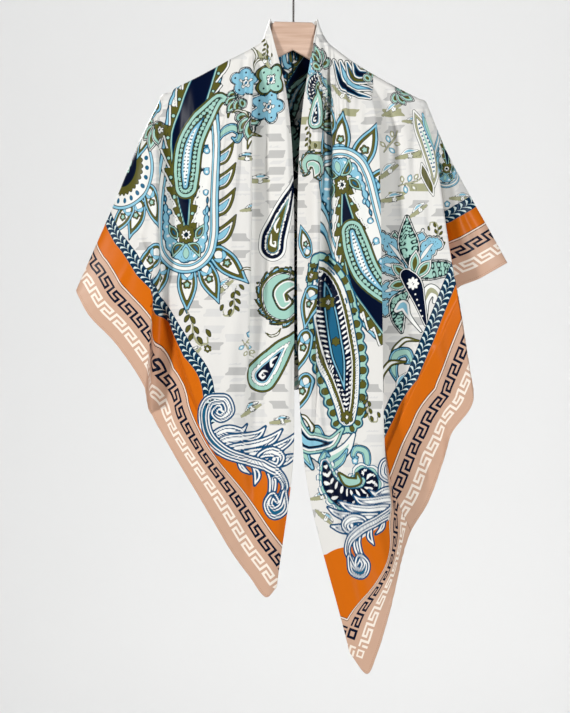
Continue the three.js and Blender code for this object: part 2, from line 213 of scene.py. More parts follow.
RIGHT_SIDE = [
    ("side ridge", [174, 106], -80, [193, -27, 172], [213, -35, 303], [233, -37, 420], [248, -33, 517]),
    ("side slope", [164, 101], -90, [178, -30, 166], [197, -38, 310], [213, -36, 455], [217, -34, 570]),
    ("side middle", [150, 95], -90, [161, -31, 158], [177, -41, 317], [193, -37, 490], [205, -20, 612]),
    ("side inner", [126, 81], -90, [132, -28, 151], [141, -36, 351], [159, -32, 565], [186, -13, 664]),
]
RIGHT_PLEAT = [
    ("hidden valley", [110, 72], -90, [109, -25, 150], [112, -33, 361], [133, -27, 631], [162, -17, 704]),
]
RIGHT_FRONT = [
    ("pleat edge", [101, 67], -90, [115, -47, 147], [121, -60, 358], [129, -45, 634], [150, -24, 739]),
    ("pleat middle", [81, 54], -90, [84, -46, 144], [89, -57, 351], [98, -54, 627], [143, -30, 769]),
    ("pleat start", [60, 38], -90, [54, -38, 137], [53, -42, 344], [69, -48, 620], [136, -34, 800]),
    ("collar valley", [50, 30], -90, [43, -24, 135], [40, -37, 341], [55, -47, 613], [129, -38, 826]),
    ("collar ridge", [43, 20], -90, [34, -42, 130], [30, -50, 337], [42, -51, 606], [115, -41, 871]),
    ("point", [38, 9], -90, [21, -33, 126], [15, -42, 333], [28, -47, 600], [101, -40, 899]),
    ("folded edge", [33, -4.5], -90, [12, -26, 124], [5, -36, 330], [13, -42, 593], [77, -36, 870]),
]
folds = [dict(zip(FOLD_COLUMNS, row)) for row in
         LEFT_FRONT + LEFT_ELBOW + BACK + RIGHT_ELBOW + FLAP + RIGHT_SIDE + RIGHT_PLEAT + RIGHT_FRONT]
print(len(folds), "fold lines")

# %% [markdown]
# A smooth curve has to run through the points of every fold line without swinging past them, or a valley
# would bulge. So each coordinate's slope is nought where it turns back, and is otherwise the weighted mean
# of its two neighbouring chords. The same curve runs down the folds and then across them.


# %% Smooth curve through knots
def knot_curve(knots, at):
    """Reads a smooth curve through knots [n, m, 3] at the places in at [k] or [k, m], counted in knots.

    Each piece is a cubic h00 p0 + h10 g m0 + h01 p1 + h11 g m1, where g is the root of the distance between
    its knots, and a slope m is the mean of the neighbouring chords, never over three times the smaller."""
    step = np.diff(knots, axis=0)
    gap = np.sqrt(np.linalg.norm(step, axis=2, keepdims=True)) + 1e-9
    chord = step / gap
    before, after = np.concatenate([chord[:1], chord]), np.concatenate([chord, chord[-1:]])
    gap0, gap1 = np.concatenate([gap[:1], gap]), np.concatenate([gap, gap[-1:]])
    mean = (before * gap1 + after * gap0) / (gap0 + gap1)
    limit = 3 * np.minimum(np.abs(before), np.abs(after))
    slope = np.where(before * after > 0, np.sign(mean) * np.minimum(np.abs(mean), limit), 0)
    at = np.broadcast_to(np.reshape(at, (len(at), -1)), (len(at), knots.shape[1]))
    piece = np.clip(at.astype(int), 0, len(knots) - 2)
    s = (at - piece)[..., None]

    def pick(values, shift=0):
        return np.take_along_axis(values, piece[..., None] + shift, axis=0)

    g = pick(gap)
    return (
        (2 * s**3 - 3 * s**2 + 1) * pick(knots)
        + (s**3 - 2 * s**2 + s) * g * pick(slope)
        + (3 * s**2 - 2 * s**3) * pick(knots, 1)
        + (s**3 - s**2) * g * pick(slope, 1)
    )


# %% The fold lines as curves
ROLL_RADIUS = 10.0
ROLL_ANGLE = math.radians(83)
SEAM_GAP = 0.4
ROLL_ROWS = 14


def fold_curves(fall_rows):
    """Every fold line as points [rows, folds, 3] in x, y and drop.

    The first rows roll over the arm on a circle: out R sin a, down R (1 - cos a). The rest fall to the hem
    at equal shares of the fold line's length."""
    rolls = np.array([len(f["top"]) == 2 for f in folds])
    top = np.array([[f["top"][0], 0, f["top"][1]] if len(f["top"]) == 2 else f["top"] for f in folds])
    heading = np.radians([f["heading"] for f in folds])
    out = np.stack([np.cos(heading), np.sin(heading), np.zeros(len(folds))], axis=1) * rolls[:, None]
    start = math.asin(SEAM_GAP / 2 / ROLL_RADIUS)
    angle = np.linspace(start, ROLL_ANGLE, ROLL_ROWS + 1)[:, None, None]
    fall = np.array([0, 0, 1.0])
    rolled = top + ROLL_RADIUS * (np.sin(angle) * out + (1 - np.cos(angle)) * fall)
    stations = np.stack([rolled[-1]] + [np.array([f[key] for f in folds], float) for key in FOLD_COLUMNS[3:]])
    length = np.linalg.norm(np.diff(stations, axis=0), axis=2)
    reached = np.concatenate([np.zeros((1, len(folds))), np.cumsum(length, axis=0)])
    want = np.linspace(0, 1, fall_rows + 1)[:, None] * reached[-1]
    piece = np.clip((want[:, None, :] >= reached[None, :-1, :]).sum(axis=1) - 1, 0, len(length) - 1)
    rest = want - np.take_along_axis(reached, piece, axis=0)
    share = np.minimum(rest / np.take_along_axis(length, piece, axis=0), 1 - 1e-9)
    return np.concatenate([rolled[:-1], knot_curve(stations, piece + share)])


# %% [markdown]
# ## From drape to flat cloth
#
# The print and the border belong to the flat silk, so every point of the drape needs its place on the flat
# cloth. Going round, the flat distance `u` is the length travelled in plan, so a pleat swallows the pattern
# as a real one does. Going down, `v` is the drop. The border is measured from the hem: `depth` is how far
# in from it a point lies, `run` is how far along it from the scarf's point, and `rope` is how far past the
# place where the printed rope begins.
#
# Each row of the table is one stretch: its first and last fold, the fold where `u` is x, the width of its
# columns in mm, its rows, the folds at the ends of its hem, and where `run` and the rope begin.

# %% Stretches of cloth
STRETCH_COLUMNS = (
    "name", "first", "last", "anchor", "step", "fall_rows", "hem_folds", "run_start", "rope_from",
)
left_elbow = len(LEFT_FRONT)
right_elbow = left_elbow + 1 + len(BACK)
side_ridge = right_elbow + 1 + len(FLAP)
pleat_valley = side_ridge + len(RIGHT_SIDE)
last_fold = len(folds) - 1
stretches = [dict(zip(STRETCH_COLUMNS, row)) for row in [
    ("left_front_fall", 0, left_elbow, 4, 2.0, 364, (1, left_elbow), 30, 268),
    ("back_panel", left_elbow, right_elbow, left_elbow + 9, 2.4, 264, (), 520, 0),
    ("right_elbow_flap", right_elbow, side_ridge, right_elbow + 1, 1.3, 220,
     (right_elbow, side_ridge), 400, 0),
    ("right_side_panel", side_ridge, pleat_valley, side_ridge + 2, 1.2, 400,
     (side_ridge, pleat_valley), 400, 0),
    ("right_front_fall", pleat_valley, last_fold, pleat_valley + 2, 1.3, 462,
     (pleat_valley, last_fold - 1), 0, 999),
]]

# Where a point's hem turns away from the viewer: its drop, its width and how much the border narrows
HEM_TURNS = {
    "left_front_fall": [(580, 60, 0.36)],
    "right_front_fall": [(780, 300, 0.14), (660, 30, 0.25), (742, 44, 1.6)],
}
print("stretches:", [stretch["name"] for stretch in stretches])

# %% [markdown]
# Each stretch is then laid out. The smooth curve runs across its fold lines at even places, and the distances
# to its hem give the border.

# %% Laying the stretches out
HEM_REACH = 400
BIAS, RISE_IN, RISE_ALONG = 0.71, 0.88, 0.47


def hem_distance(u, v, hem_u, hem_v):
    """How far (u, v) lies from the hem line, and how far along the hem's chord from its first point.

    For a segment from a to b the nearest point is a + s (b - a), with s the projection held to 0..1. The
    line is first carried on straight by HEM_REACH past both ends."""
    line = np.stack([hem_u, hem_v], axis=1)
    chord = (line[-1] - line[0]) / np.linalg.norm(line[-1] - line[0])
    outer, inner = line[[0, -1]], line[[3, -4]]
    ends = outer + (outer - inner) / np.linalg.norm(outer - inner, axis=1, keepdims=True) * HEM_REACH
    line = np.concatenate([ends[:1], line, ends[1:]])
    depth = np.full(u.shape, 1e9)
    for a, b in zip(line, line[1:]):
        long = np.hypot(*(b - a))
        s = np.clip(((u - a[0]) * (b[0] - a[0]) + (v - a[1]) * (b[1] - a[1])) / long**2, 0, 1)
        depth = np.minimum(depth, np.hypot(u - a[0] - s * (b[0] - a[0]), v - a[1] - s * (b[1] - a[1])))
    return depth, (u - hem_u[0]) * chord[0] + (v - hem_v[0]) * chord[1]


def lay_out(stretch):
    """The outer face of one stretch as a grid [rows, columns, 3], with its flat coordinates.

    A face keeps SEAM_GAP / 2 from each fold that it shares with a neighbour. The back's hem lies on the
    bias, so there depth is BIAS times the way to the nearer corner plus RISE_IN times the rise, and run is
    RISE_ALONG times the rise less the first of these."""
    curves = fold_curves(stretch["fall_rows"])
    first, last = stretch["first"], stretch["last"]
    middle = curves[ROLL_ROWS + stretch["fall_rows"] // 2]
    width = np.linalg.norm(np.diff(middle[first:last + 1], axis=0), axis=1)
    counts = [2 * math.ceil(w / stretch["step"] / 2) + 2 for w in width]
    places = [first + i + np.arange(count) / count for i, count in enumerate(counts)]
    at = np.concatenate(places + [[last]])
    face = knot_curve(curves.transpose(1, 0, 2), at).transpose(1, 0, 2)
    for end, inner in ((0, 1), (-1, -2)):
        if 0 < at[end] < last_fold:
            along = face[:, inner] - face[:, end]
            long = np.linalg.norm(along, axis=1, keepdims=True) + 1e-9
            face[:, end] += along / long * np.minimum(SEAM_GAP / 2, long / 2)
    way = 1 if stretch["name"] == "back_panel" else -1
    travel = np.hypot(np.diff(face[..., 0], axis=1), np.diff(face[..., 1], axis=1))
    u = way * np.concatenate([np.zeros((len(face), 1)), np.cumsum(travel, axis=1)], axis=1)
    anchor = int(np.argmin(np.abs(at - stretch["anchor"])))
    u += face[:, anchor:anchor + 1, 0] - u[:, anchor:anchor + 1]
    v = face[..., 2].copy()
    if stretch["hem_folds"]:
        ends = [int(np.argmin(np.abs(at - fold))) for fold in stretch["hem_folds"]]
        span = slice(ends[0], ends[1] + 1)
        every = 3 if stretch["name"] == "left_front_fall" else -3
        depth, run = hem_distance(u, v, u[-1, span][::every], v[-1, span][::every])
        run += stretch["run_start"]
        for level, width, more in HEM_TURNS.get(stretch["name"], []):
            depth = depth * (1 + more * np.exp(-(((v - level) / width) ** 2)))
    else:
        edge = np.linalg.norm(np.diff(face[-1], axis=0), axis=1)
        along = np.concatenate([[0], np.cumsum(edge)])
        nearest = BIAS * np.minimum(along, along[-1] - along)
        rise = face[-1:, :, 2] - v
        depth = nearest + RISE_IN * rise
        run = stretch["run_start"] + RISE_ALONG * rise - nearest
    rope = run - stretch["rope_from"]
    return {"name": stretch["name"], "face": face, "u": u, "v": v, "depth": depth, "run": run, "rope": rope}


cloths = [lay_out(stretch) for stretch in stretches]
for cloth in cloths:
    rows, columns = cloth["u"].shape
    print(cloth["name"], rows, "x", columns, "u", cloth["u"].min().round(), cloth["u"].max().round())

# %% [markdown]
# ## Creases
#
# Between its main folds, silk has small creases: short pleats where it is gathered over the arm, long soft
# troughs that fade out, and puckers where the hem was machine stitched. They are placed one by one, each as a
# row with its two ends on the flat cloth. A trough's depth is a bell curve across it and fades to nothing at
# its ends, and a ridge is a trough of negative depth. A row with two more numbers is a pleat, steep on one
# side: `lean` is 1 or -1 for the side with the long slope, and `slope` is how much longer that side is.

# %% Crease tables
CREASE_COLUMNS = ("u0", "v0", "u1", "v1", "depth", "width", "lean", "slope")
LEFT_CREASES = [
    (-54, 20, -58, 500, 4.0, 2.2, 1, 4),
    (-57, 40, -61, 480, -3.8, 2.0, -1, 6),
    (-45, 16, -44, 160, 3.0, 2.0, 1, 4),
    (-236, 292, -88, 650, 9.0, 3.0, -1, 9),
    (-188, 104, -202, 380, -3.4, 2.4, -1, 6),
    (-90, 84, -104, 320, -2.2, 3.0, -1, 3),
    (-30, 300, -40, 640, 2.4, 3.0, 1, 5),
    (-32, 12, -28, 220, 2.4, 2.0, -1, 4),
    (-182, 98, -204, 380, 3.6, 2.8, -1, 5),
    (-68, 30, -76, 240, 3.0, 2.2, 1, 5),
    (-104, 60, -150, 460, 1.0, 12.0),
    (-36, 20, -30, 112, 2.4, 4.5),
    (-47, 36, -49, 150, 3.0, 4.0),
    (-55, 40, -60, 128, -2.2, 3.6),
    (-66, 44, -76, 190, 2.6, 5.0),
    (-74, 48, -86, 330, -1.8, 6.0),
    (-92, 56, -106, 210, 1.8, 5.5),
    (-112, 70, -128, 300, 1.2, 8.0),
    (-136, 82, -150, 250, -1.6, 6.5),
    (-160, 96, -172, 330, 1.5, 7.0),
    (-24, 180, -30, 420, 1.2, 7.0),
    (-78, 330, -86, 600, -1.5, 10.0),
    (-44, 470, -52, 690, 1.3, 9.0),
    (-120, 400, -140, 620, 1.6, 9.0),
    (-212, 180, -262, 400, 1.6, 9.0),
    (-200, 250, -214, 470, -1.4, 8.0),
    (-232, 260, -276, 396, -1.3, 7.0),
    (-62, 610, -50, 780, -1.2, 8.0),
    (-168, 470, -178, 580, 1.3, 7.0),
]
RIGHT_CREASES = [
    (27, 4, 24, 620, 5.4, 2.4, 1, 6),
    (25, 40, 21, 600, -3.2, 2.0, -1, 4),
    (38, 24, 36, 270, -4.8, 1.6, -1, 6),
    (47, 22, 54, 190, -4.2, 1.6, -1, 5),
    (42, 14, 39, 300, 5.0, 2.2, 1, 2),
    (58, 20, 56, 210, 3.2, 2.0, 1, 4),
    (72, 30, 78, 170, 2.6, 2.0, 1, 5),
    (12, 20, 14, 180, 1.4, 1.8, 1, 4),
    (40, 22, 30, 120, 2.0, 3.6),
    (50, 34, 47, 190, 3.2, 3.8),
    (58, 40, 58, 230, -2.0, 4.0),
    (66, 46, 66, 150, 2.4, 4.0),
    (74, 50, 78, 260, -1.8, 5.0),
    (88, 60, 88, 140, 2.0, 4.5),
    (96, 66, 104, 300, 1.6, 6.0),
    (26, 200, 28, 560, 1.5, 5.0),
    (17, 240, 19, 520, -1.2, 4.5),
    (70, 330, 84, 620, 1.4, 9.0),
    (46, 520, 84, 760, 1.3, 8.0),
    (98, 560, 128, 790, -1.6, 8.0),
    (66, 640, 104, 850, 1.2, 7.0),
]
SIDE_CREASES = [
    (236, 364, 108, 634, -6.4, 3.0, 1, 8),
    (132, 88, 138, 210, 2.0, 5.0),
    (146, 98, 158, 300, -1.5, 7.0),
    (160, 104, 176, 260, 1.6, 6.0),
    (180, 190, 206, 400, 1.3, 7.0),
    (150, 330, 176, 560, 1.6, 9.0),
    (190, 420, 214, 560, -2.0, 8.0),
    (170, 560, 188, 660, 2.2, 7.0),
]
FLAP_CREASES = [
    (192, 170, 214, 330, 1.6, 6.0),
    (210, 190, 246, 340, -1.5, 7.0),
    (226, 230, 262, 340, 1.2, 6.0),
]
BACK_CREASES = [
    (-148, 90, -160, 260, 2.0, 7.0),
    (-132, 84, -142, 420, -1.6, 9.0),
    (-96, 66, -100, 300, 2.2, 7.0),
    (-58, 48, -64, 240, -1.8, 6.0),
    (-30, 60, -34, 360, 1.8, 7.0),
    (-8, 50, -8, 330, -1.4, 7.0),
    (12, 60, 14, 450, 1.5, 8.0),
    (58, 50, 76, 330, 2.2, 7.0),
    (98, 74, 112, 250, -1.6, 7.0),
    (136, 96, 158, 360, 2.0, 8.0),
    (176, 150, 214, 350, -1.5, 9.0),
    (-186, 170, -224, 380, 1.6, 9.0),
    (-44, 300, -46, 500, -1.6, 9.0),
    (120, 300, 128, 470, 1.7, 8.0),
]
CREASES = {
    "left_front_fall": LEFT_CREASES,
    "right_front_fall": RIGHT_CREASES,
    "right_side_panel": SIDE_CREASES,
    "right_elbow_flap": FLAP_CREASES,
    "back_panel": BACK_CREASES,
}
print("creases:", {name: len(rows) for name, rows in CREASES.items()})

# %% [markdown]
# All creases of a stretch are added up into one height in millimetres, which moves each point of the smooth
# cloth out or in along its normal. The rows on the hanger's arms and the folded edges stay where they are.

# %% Crease heights
CREASE_GAIN = 2.0
CREASE_ROOM = 9.0
ROOM_BY_WOOD = 4.2
WOOD_DROPS = (60, 160)
PUCKER_DEPTH = 0.45
HEM_RELIEF = 0.35


def crease_height(cloth):
    """How far each point moves out along its normal: minus the sum of the troughs, the hem and its puckers.

    A trough at distance d from its line, which sways by half a width, with s from 0 to 1 along it, is depth
    exp(-(d/width)^2) times sin(pi s)^0.7. A leaning one is a pleat: exp(-|d|/width) on its steep side and
    exp(-|d|/(slope width)) on the side that it leans to. All are deepened by CREASE_GAIN. Their sum h is kept
    to room tanh(h/room), with less room inwards near the arms, so that no trough reaches the wood. The hem
    is a 4 mm fold, HEM_RELIEF proud. Its puckers are two sines along it that die out away from it."""
    u, v = cloth["u"], cloth["v"]
    height = np.zeros(u.shape)
    for row in CREASES[cloth["name"]]:
        c = dict(zip(CREASE_COLUMNS, row))
        du, dv = c["u1"] - c["u0"], c["v1"] - c["v0"]
        s = ((u - c["u0"]) * du + (v - c["v0"]) * dv) / (du**2 + dv**2)
        bend = c["width"] * 0.5 * np.sin(2.5 * math.pi * s + c["u0"])
        d = ((u - c["u0"]) * dv - (v - c["v0"]) * du) / math.hypot(du, dv) + bend
        fade = np.sin(math.pi * np.clip(s, 0, 1)) ** 0.7
        if "lean" in c:
            fall = np.exp(-np.abs(d) / (c["width"] * np.where(d * c["lean"] > 0, c["slope"], 1)))
        else:
            fall = np.exp(-((d / c["width"]) ** 2))
        height -= CREASE_GAIN * c["depth"] * fall * fade
    room = np.where(height < 0, np.interp(v, WOOD_DROPS, [ROOM_BY_WOOD, CREASE_ROOM]), CREASE_ROOM)
    height = room * np.tanh(height / room)
    if cloth["name"] != "back_panel":
        run, depth = cloth["run"], cloth["depth"]
        uneven = 0.6 + 0.4 * np.sin(run / 41) * np.sin(run / 17 + 1)
        pucker = np.sin(run / 2.3 + 1.5 * np.sin(run / 13)) + 0.6 * np.sin(run / 3.9 + 2)
        height += PUCKER_DEPTH * uneven * pucker * np.exp(-depth / 7)
        height += HEM_RELIEF * np.clip((4.6 - depth) / 1.2, 0, 1)
    return height


def unit_normals(face):
    """The outward normals of a grid: the cross product of its two sets of differences."""
    across = np.gradient(face, axis=1)
    fall = np.gradient(face, axis=0)
    normal = np.cross(across, fall)
    normal[0] = normal[1]
    return normal / (np.linalg.norm(normal, axis=2, keepdims=True) + 1e-12)


def to_space(points):
    """From x, y and drop to x, y and z, with z = top of the wood - drop."""
    return np.stack([points[..., 0], points[..., 1], WOOD_TOP - points[..., 2]], axis=-1)


for cloth in cloths:
    smooth = to_space(cloth["face"])
    normal = unit_normals(smooth)
    rows = np.arange(len(smooth))[:, None]
    settled = np.clip((rows - 2) / ROLL_ROWS, 0, 1)
    edge = np.minimum(np.arange(smooth.shape[1]), np.arange(smooth.shape[1])[::-1])[None, :]
    held = settled * np.clip(edge / 3, 0, 1)
    cloth["points"] = smooth + normal * (crease_height(cloth) * held)[..., None]
    cloth["normal"] = unit_normals(cloth["points"])
    print(cloth["name"], "moves by up to", round(float(np.abs(cloth["points"] - smooth).max()), 1), "mm")

# %% [markdown]
# ## The print
#
# A printed silk is made with screens, one for each ink, laid down in order. Here a screen is a number at each
# point of the cloth: the distance in millimetres to the edge of that ink, positive inside it. Distances
# blend evenly between points, so the material finds a sharp edge where they pass through nought. Pressing a
# shape raises its own ink's screen and lowers those of the inks that go on after it.

# %% Inks
INK_COLUMNS = ("name", "colour")
INKS = [dict(zip(INK_COLUMNS, row)) for row in [
    ("pale", (211, 210, 207)),
    ("grey", (184, 183, 180)),
    ("sage", (160, 160, 126)),
    ("orange", (204, 102, 14)),
    ("line", (12, 34, 38)),
    ("sky", (26, 92, 124)),
    ("white", (230, 230, 225)),
    ("blue", (134, 188, 208)),
    ("olive", (86, 84, 34)),
    ("navy", (2, 12, 38)),
    ("mint", (156, 198, 184)),
    ("teal", (16, 70, 108)),
    ("petal", (236, 236, 232)),
    ("dot", (10, 30, 42)),
]]
INK_NUMBER = {ink["name"]: number for number, ink in enumerate(INKS)}
NO_INK = -5.0

for cloth in cloths:
    cloth["flat_u"], cloth["flat_v"] = cloth["u"].ravel(), cloth["v"].ravel()
    cloth["screens"] = np.full((len(INKS), cloth["u"].size), NO_INK)
print("inks:", list(INK_NUMBER))


def press(cloth, near, ink, inside):
    """Lays one ink inside a shape. inside is the distance to the shape's edge at the points near."""
    number = INK_NUMBER[ink]
    screens = cloth["screens"]
    screens[number, near] = np.maximum(screens[number, near], inside)
    screens[number + 1:, near] = np.minimum(screens[number + 1:, near], -inside)


# %% [markdown]
# Most motifs of a paisley cloth are a bent line with a width that swells and tapers: a drop, a leaf, a petal
# or a scroll. So one function serves them all. It also tells how far along the line a point lies, carried on
# round its blunt end, and rows of teeth, beads or scallops are drawn with that.


# %% Drawing helpers
def bent_line(points, parts=5):
    """A table of (x, y, radius) made smooth, parts points for each of its rows."""
    knots = np.array(points, float)[:, None, :]
    at = np.linspace(0, len(points) - 1, (len(points) - 1) * parts + 1)
    at[-1] -= 1e-9
    return knot_curve(knots, at)[:, 0]


def swept(line, x, y):
    """Signed distance inside a line of (x, y, radius), and the distance along it.

    On the segment from a to b the nearest place is s = projection held to 0..1, the distance inside is the
    radius there less the distance to it, and the largest over the segments is kept. Past the blunt end the
    distance along goes on as radius times angle."""
    inside, along = np.full(x.shape, -1e3), np.zeros(x.shape)
    reached = 0.0
    for a, b in zip(line, line[1:]):
        du, dv = b[0] - a[0], b[1] - a[1]
        long = math.hypot(du, dv) + 1e-9
        raw = ((x - a[0]) * du + (y - a[1]) * dv) / long**2
        s = np.clip(raw, 0, 1)
        here = a[2] + (b[2] - a[2]) * s - np.hypot(x - a[0] - s * du, y - a[1] - s * dv)
        better = here > inside
        inside = np.where(better, here, inside)
        past = np.arctan2(np.maximum(raw - 1, 0) * long, np.abs((x - a[0]) * dv - (y - a[1]) * du) / long)
        along = np.where(better, reached + s * long + b[2] * past, along)
        reached += long
    return inside, along


def build_up(cloth, near, scale, inside, along, layers):
    """Presses the layers of one shape from its outside in, as wet inks would overlap.

    A layer is (ink, inset) or (ink, inset, edge, size, pitch). With p = along / pitch, a scalloped edge lies
    size (1 - |sin pi p|) further in and a saw edge size (p mod 1). Beads are discs of radius size on the
    inset line, rings their outlines, and dashes long beads that lean."""
    for ink, inset, *edge in layers:
        depth = inside - inset
        if edge:
            kind, size, pitch = edge
            phase = along / pitch
            aside = (phase % 1 - 0.5) * pitch
            if kind == "scallop":
                depth = depth - size * (1 - np.abs(np.sin(math.pi * phase)))
            elif kind == "saw":
                depth = depth - size * (phase % 1)
            elif kind == "bead":
                depth = size - np.hypot(aside, depth)
            elif kind == "ring":
                depth = 0.75 - np.abs(size - np.hypot(aside, depth * 0.6))
            elif kind == "dash":
                depth = size - np.hypot(aside - 0.5 * depth, depth * 0.45)
        press(cloth, near, ink, scale * depth)


OUTLINE_ROOM = 8.0


def print_motif(cloth, parts, u, v, turn=0, scale=1.0, flip=1):
    """Prints a motif at (u, v), turned in degrees, scaled, and flipped where flip is -1.

    Its parts are (shape, numbers, layers). A line is swept, a pair is a line and its mirror image, and a
    flower is (x, y, radius, petals, cut), whose radius swings with |cos| of the angle. Only the points of
    the cloth that it can reach are worked out, with OUTLINE_ROOM for layers that lie outside the shape."""
    reach = scale * max(
        (math.hypot(numbers[0], numbers[1]) + numbers[2] if shape == "flower"
         else max(math.hypot(x, y) + r for x, y, r in numbers)) + OUTLINE_ROOM
        for shape, numbers, _ in parts)
    du, dv = cloth["flat_u"] - u, cloth["flat_v"] - v
    near = np.flatnonzero((np.abs(du) < reach) & (np.abs(dv) < reach))
    c, s = math.cos(math.radians(turn)), math.sin(math.radians(turn))
    x = (du[near] * c + dv[near] * s) / scale * flip
    y = (dv[near] * c - du[near] * s) / scale
    for shape, numbers, layers in parts:
        for side in (1, -1) if shape == "pair" else (1,):
            if shape == "flower":
                cx, cy, radius, petals, cut = numbers
                angle = np.arctan2(x - cx, cy - y)
                edge = radius * (1 - cut + cut * np.abs(np.cos(petals * angle / 2)))
                inside, along = edge - np.hypot(x - cx, y - cy), angle * radius
            else:
                inside, along = swept(bent_line(numbers), x * side, y)
            build_up(cloth, near, scale, inside, along, layers)


# %% [markdown]
# Each motif is a list of parts in its own small coordinates, in millimetres with y down. All are of the
# ordinary kinds that such silks carry: paisleys, petals, rosettes, curled leaves, twigs and an acanthus.


# %% Layers that several motifs share
def edged(kind, size, pitch, *layers):
    """The same edge for several (ink, inset) layers."""
    return [(*layer, kind, size, pitch) for layer in layers]


BLOOM = [("line", 0), ("olive", 0.8), ("line", 6.2), ("petal", 7.0), ("dot", 9.4)]
EYE = [("line", -0.9), ("mint", 0), ("line", 1.8), ("olive", 2.4), ("sky", 4.2)]
BLUE_LEAF = [*edged("scallop", 2, 9, ("line", -2.2), ("white", -1.2), ("line", 0), ("blue", 0.8)),
             ("dot", 6.0, "bead", 1.2, 9), ("sky", 8.4), ("white", 9.0)]
MINT_LEAF = [("line", -2.2), ("white", -1.2), ("line", 0), ("mint", 0.9), ("line", 4.4, "ring", 2.2, 8)]
PEN_LEAF = [("line", -0.7), ("sage", 0)]
OLIVE_LEAF = [("line", -0.8), ("olive", 0)]
STRAND = [("teal", -1.4), ("petal", 0.9), ("teal", 3.2), ("petal", 5.0)]
STEM = [("teal", -1.4), ("petal", 0.8), ("teal", 2.8), ("petal", 4.8), ("sky", 6.6)]
CURL = [("petal", 0)]


# %% Flowers, petals and plumes
def dot_ring(count, radius):
    """A ring of small dark dots at equal angles."""
    turns = [2 * math.pi * k / count for k in range(count)]
    return [("flower", (radius * math.sin(a), -radius * math.cos(a), 1.6, 0, 0), [("dot", 0)]) for a in turns]


ROSETTE = [
    ("flower", (0, 0, 4.8, 5, 0.2), [("sky", 0), ("blue", 1.0), ("petal", 2.4), ("sky", 4.0)]),
]
BLOSSOM = [("flower", (0, 0, 12, 6, 0.3), BLOOM)]
PETAL = [
    ("line", [(0, -4, 13), (0, 10, 15), (0, 26, 11), (0, 40, 5), (0, 52, 0.5)],
     [("line", -0.8), ("sky", 0), ("blue", 0.7), ("line", 3.0), ("olive", 3.6), ("line", 6.6),
      ("white", 7.2)]),
    ("flower", (0, 12, 6.2, 5, 0.3), [("line", -0.7), ("olive", 0), ("line", 2.0), ("mint", 2.6)]),
    ("pair", [(0, 4, 0.5), (5, 2, 2.6), (8, -4, 0.5)], [("sky", -0.6), ("blue", 0.1)]),
]
PLUME = [
    ("line", [(40, -215, 16), (14, -160, 33), (8, -95, 42), (1, -20, 47), (0, 20, 48), (-1, 34, 47)],
     [("line", 0), ("sky", 0.8), ("blue", 1.6), ("line", 4.4), ("white", 5.2), ("line", 9.4), ("blue", 10.2),
      ("line", 12.4), ("white", 13.2),
      *[(ink, 20.6, "bead", size, 29) for ink, size in (("sky", 4.8), ("blue", 3.6), ("petal", 1.9))]]),
    ("line",
     [(-31, -30, 1), (-29, 16, 6), (-18, 46, 10), (0, 55, 11), (18, 46, 9), (28, 16, 5), (31, -30, 1)],
     [*edged("scallop", 2.4, 13, ("line", -0.8), ("sky", 0), ("blue", 1.0)),
      ("petal", 6.2, "bead", 1.9, 13)]),
    ("line", [(34, -215, 11), (10, -150, 14), (-6, -100, 14), (-5, -40, 10), (0, 14, 1)],
     [*edged("saw", 9, 26, ("line", -18), ("white", -17), ("line", -14.6), ("olive", -13.8)),
      ("line", -6.4, "bead", 2.9, 26), ("mint", -6.4, "bead", 2.1, 26),
      ("line", -3.2), ("mint", -2.6), ("sky", -0.9), ("navy", 0)]),
    ("line", [(60, -134, 1), (62, -152, 4), (50, -162, 8), (28, -138, 14), (6, -100, 20), (0, -66, 21),
              (-1, -40, 18)],
     [("line", -0.6), ("olive", 0), ("line", 1.8), ("mint", 2.4), ("line", 6.6), ("olive", 7.2),
      ("line", 10.4, "bead", 3.4, 6.4), ("mint", 10.4, "bead", 2.5, 6.4), ("sky", 14.2), ("blue", 15.0),
      ("petal", 17.0), ("line", 18.6, "bead", 1.3, 5)]),
    ("flower", (0, 27, 14, 8, 0.25), BLOOM),
    ("pair", [(14, 32, 1), (19, 24, 6), (25, 14, 1)], EYE),
    ("pair", [(3, 40, 1), (14, 45, 6), (20, 57, 1)], EYE),
    ("line", [(0, 42, 2), (0, 53, 7), (0, 63, 1)],
     [("line", -0.8), ("blue", 0), ("line", 2.4), ("mint", 3.0)]),
]
MEDALLION = [
    ("flower", (0, 0, 46, 0, 0), [("line", 0), ("blue", 0.8), ("line", 3.2), ("white", 4.0),
                                  ("sky", 8.8, "bead", 2.8, 12),
                                  *edged("scallop", 2.4, 9, ("line", 13.6), ("olive", 14.4)),
                                  ("line", 23.0), ("navy", 23.8)]),
    ("flower", (0, 0, 12, 8, 0.3), [("mint", 0), ("line", 2.4), ("petal", 3.4)]),
]
SWEEP = [
    ("line", [(-14, -34, 3), (-12, -4, 12), (8, 22, 15), (36, 22, 10), (56, 2, 3)],
     [("line", -0.8), ("sky", 0), ("mint", 1.2), ("line", 3.6), ("white", 4.4), ("sky", 7.2), ("navy", 8.2),
      ("blue", 11.0)]),
]
STRIPES = [
    ("line", [(-24 + 7 * k, -24, 2), (-10 + 5 * k, 2 - 5 * k, 4.5), (18 + 3 * k, 12 - 9 * k, 2)],
     [("line", -0.8), ("white", 0), ("sky", 1.4), (core, 2.4)])
    for k, core in enumerate(("navy", "blue", "olive", "navy"))
]
FLANK_LEAF = [
    ("line", [(-2, 6, 8), (6, 0, 10), (16, -12, 6.5), (25, -28, 0.5)],
     [("line", -0.8), ("olive", 0), ("line", 3.2), ("white", 3.8), ("sky", 5.6), ("blue", 6.4)]),
]
print("plume:", len(PLUME), "parts")

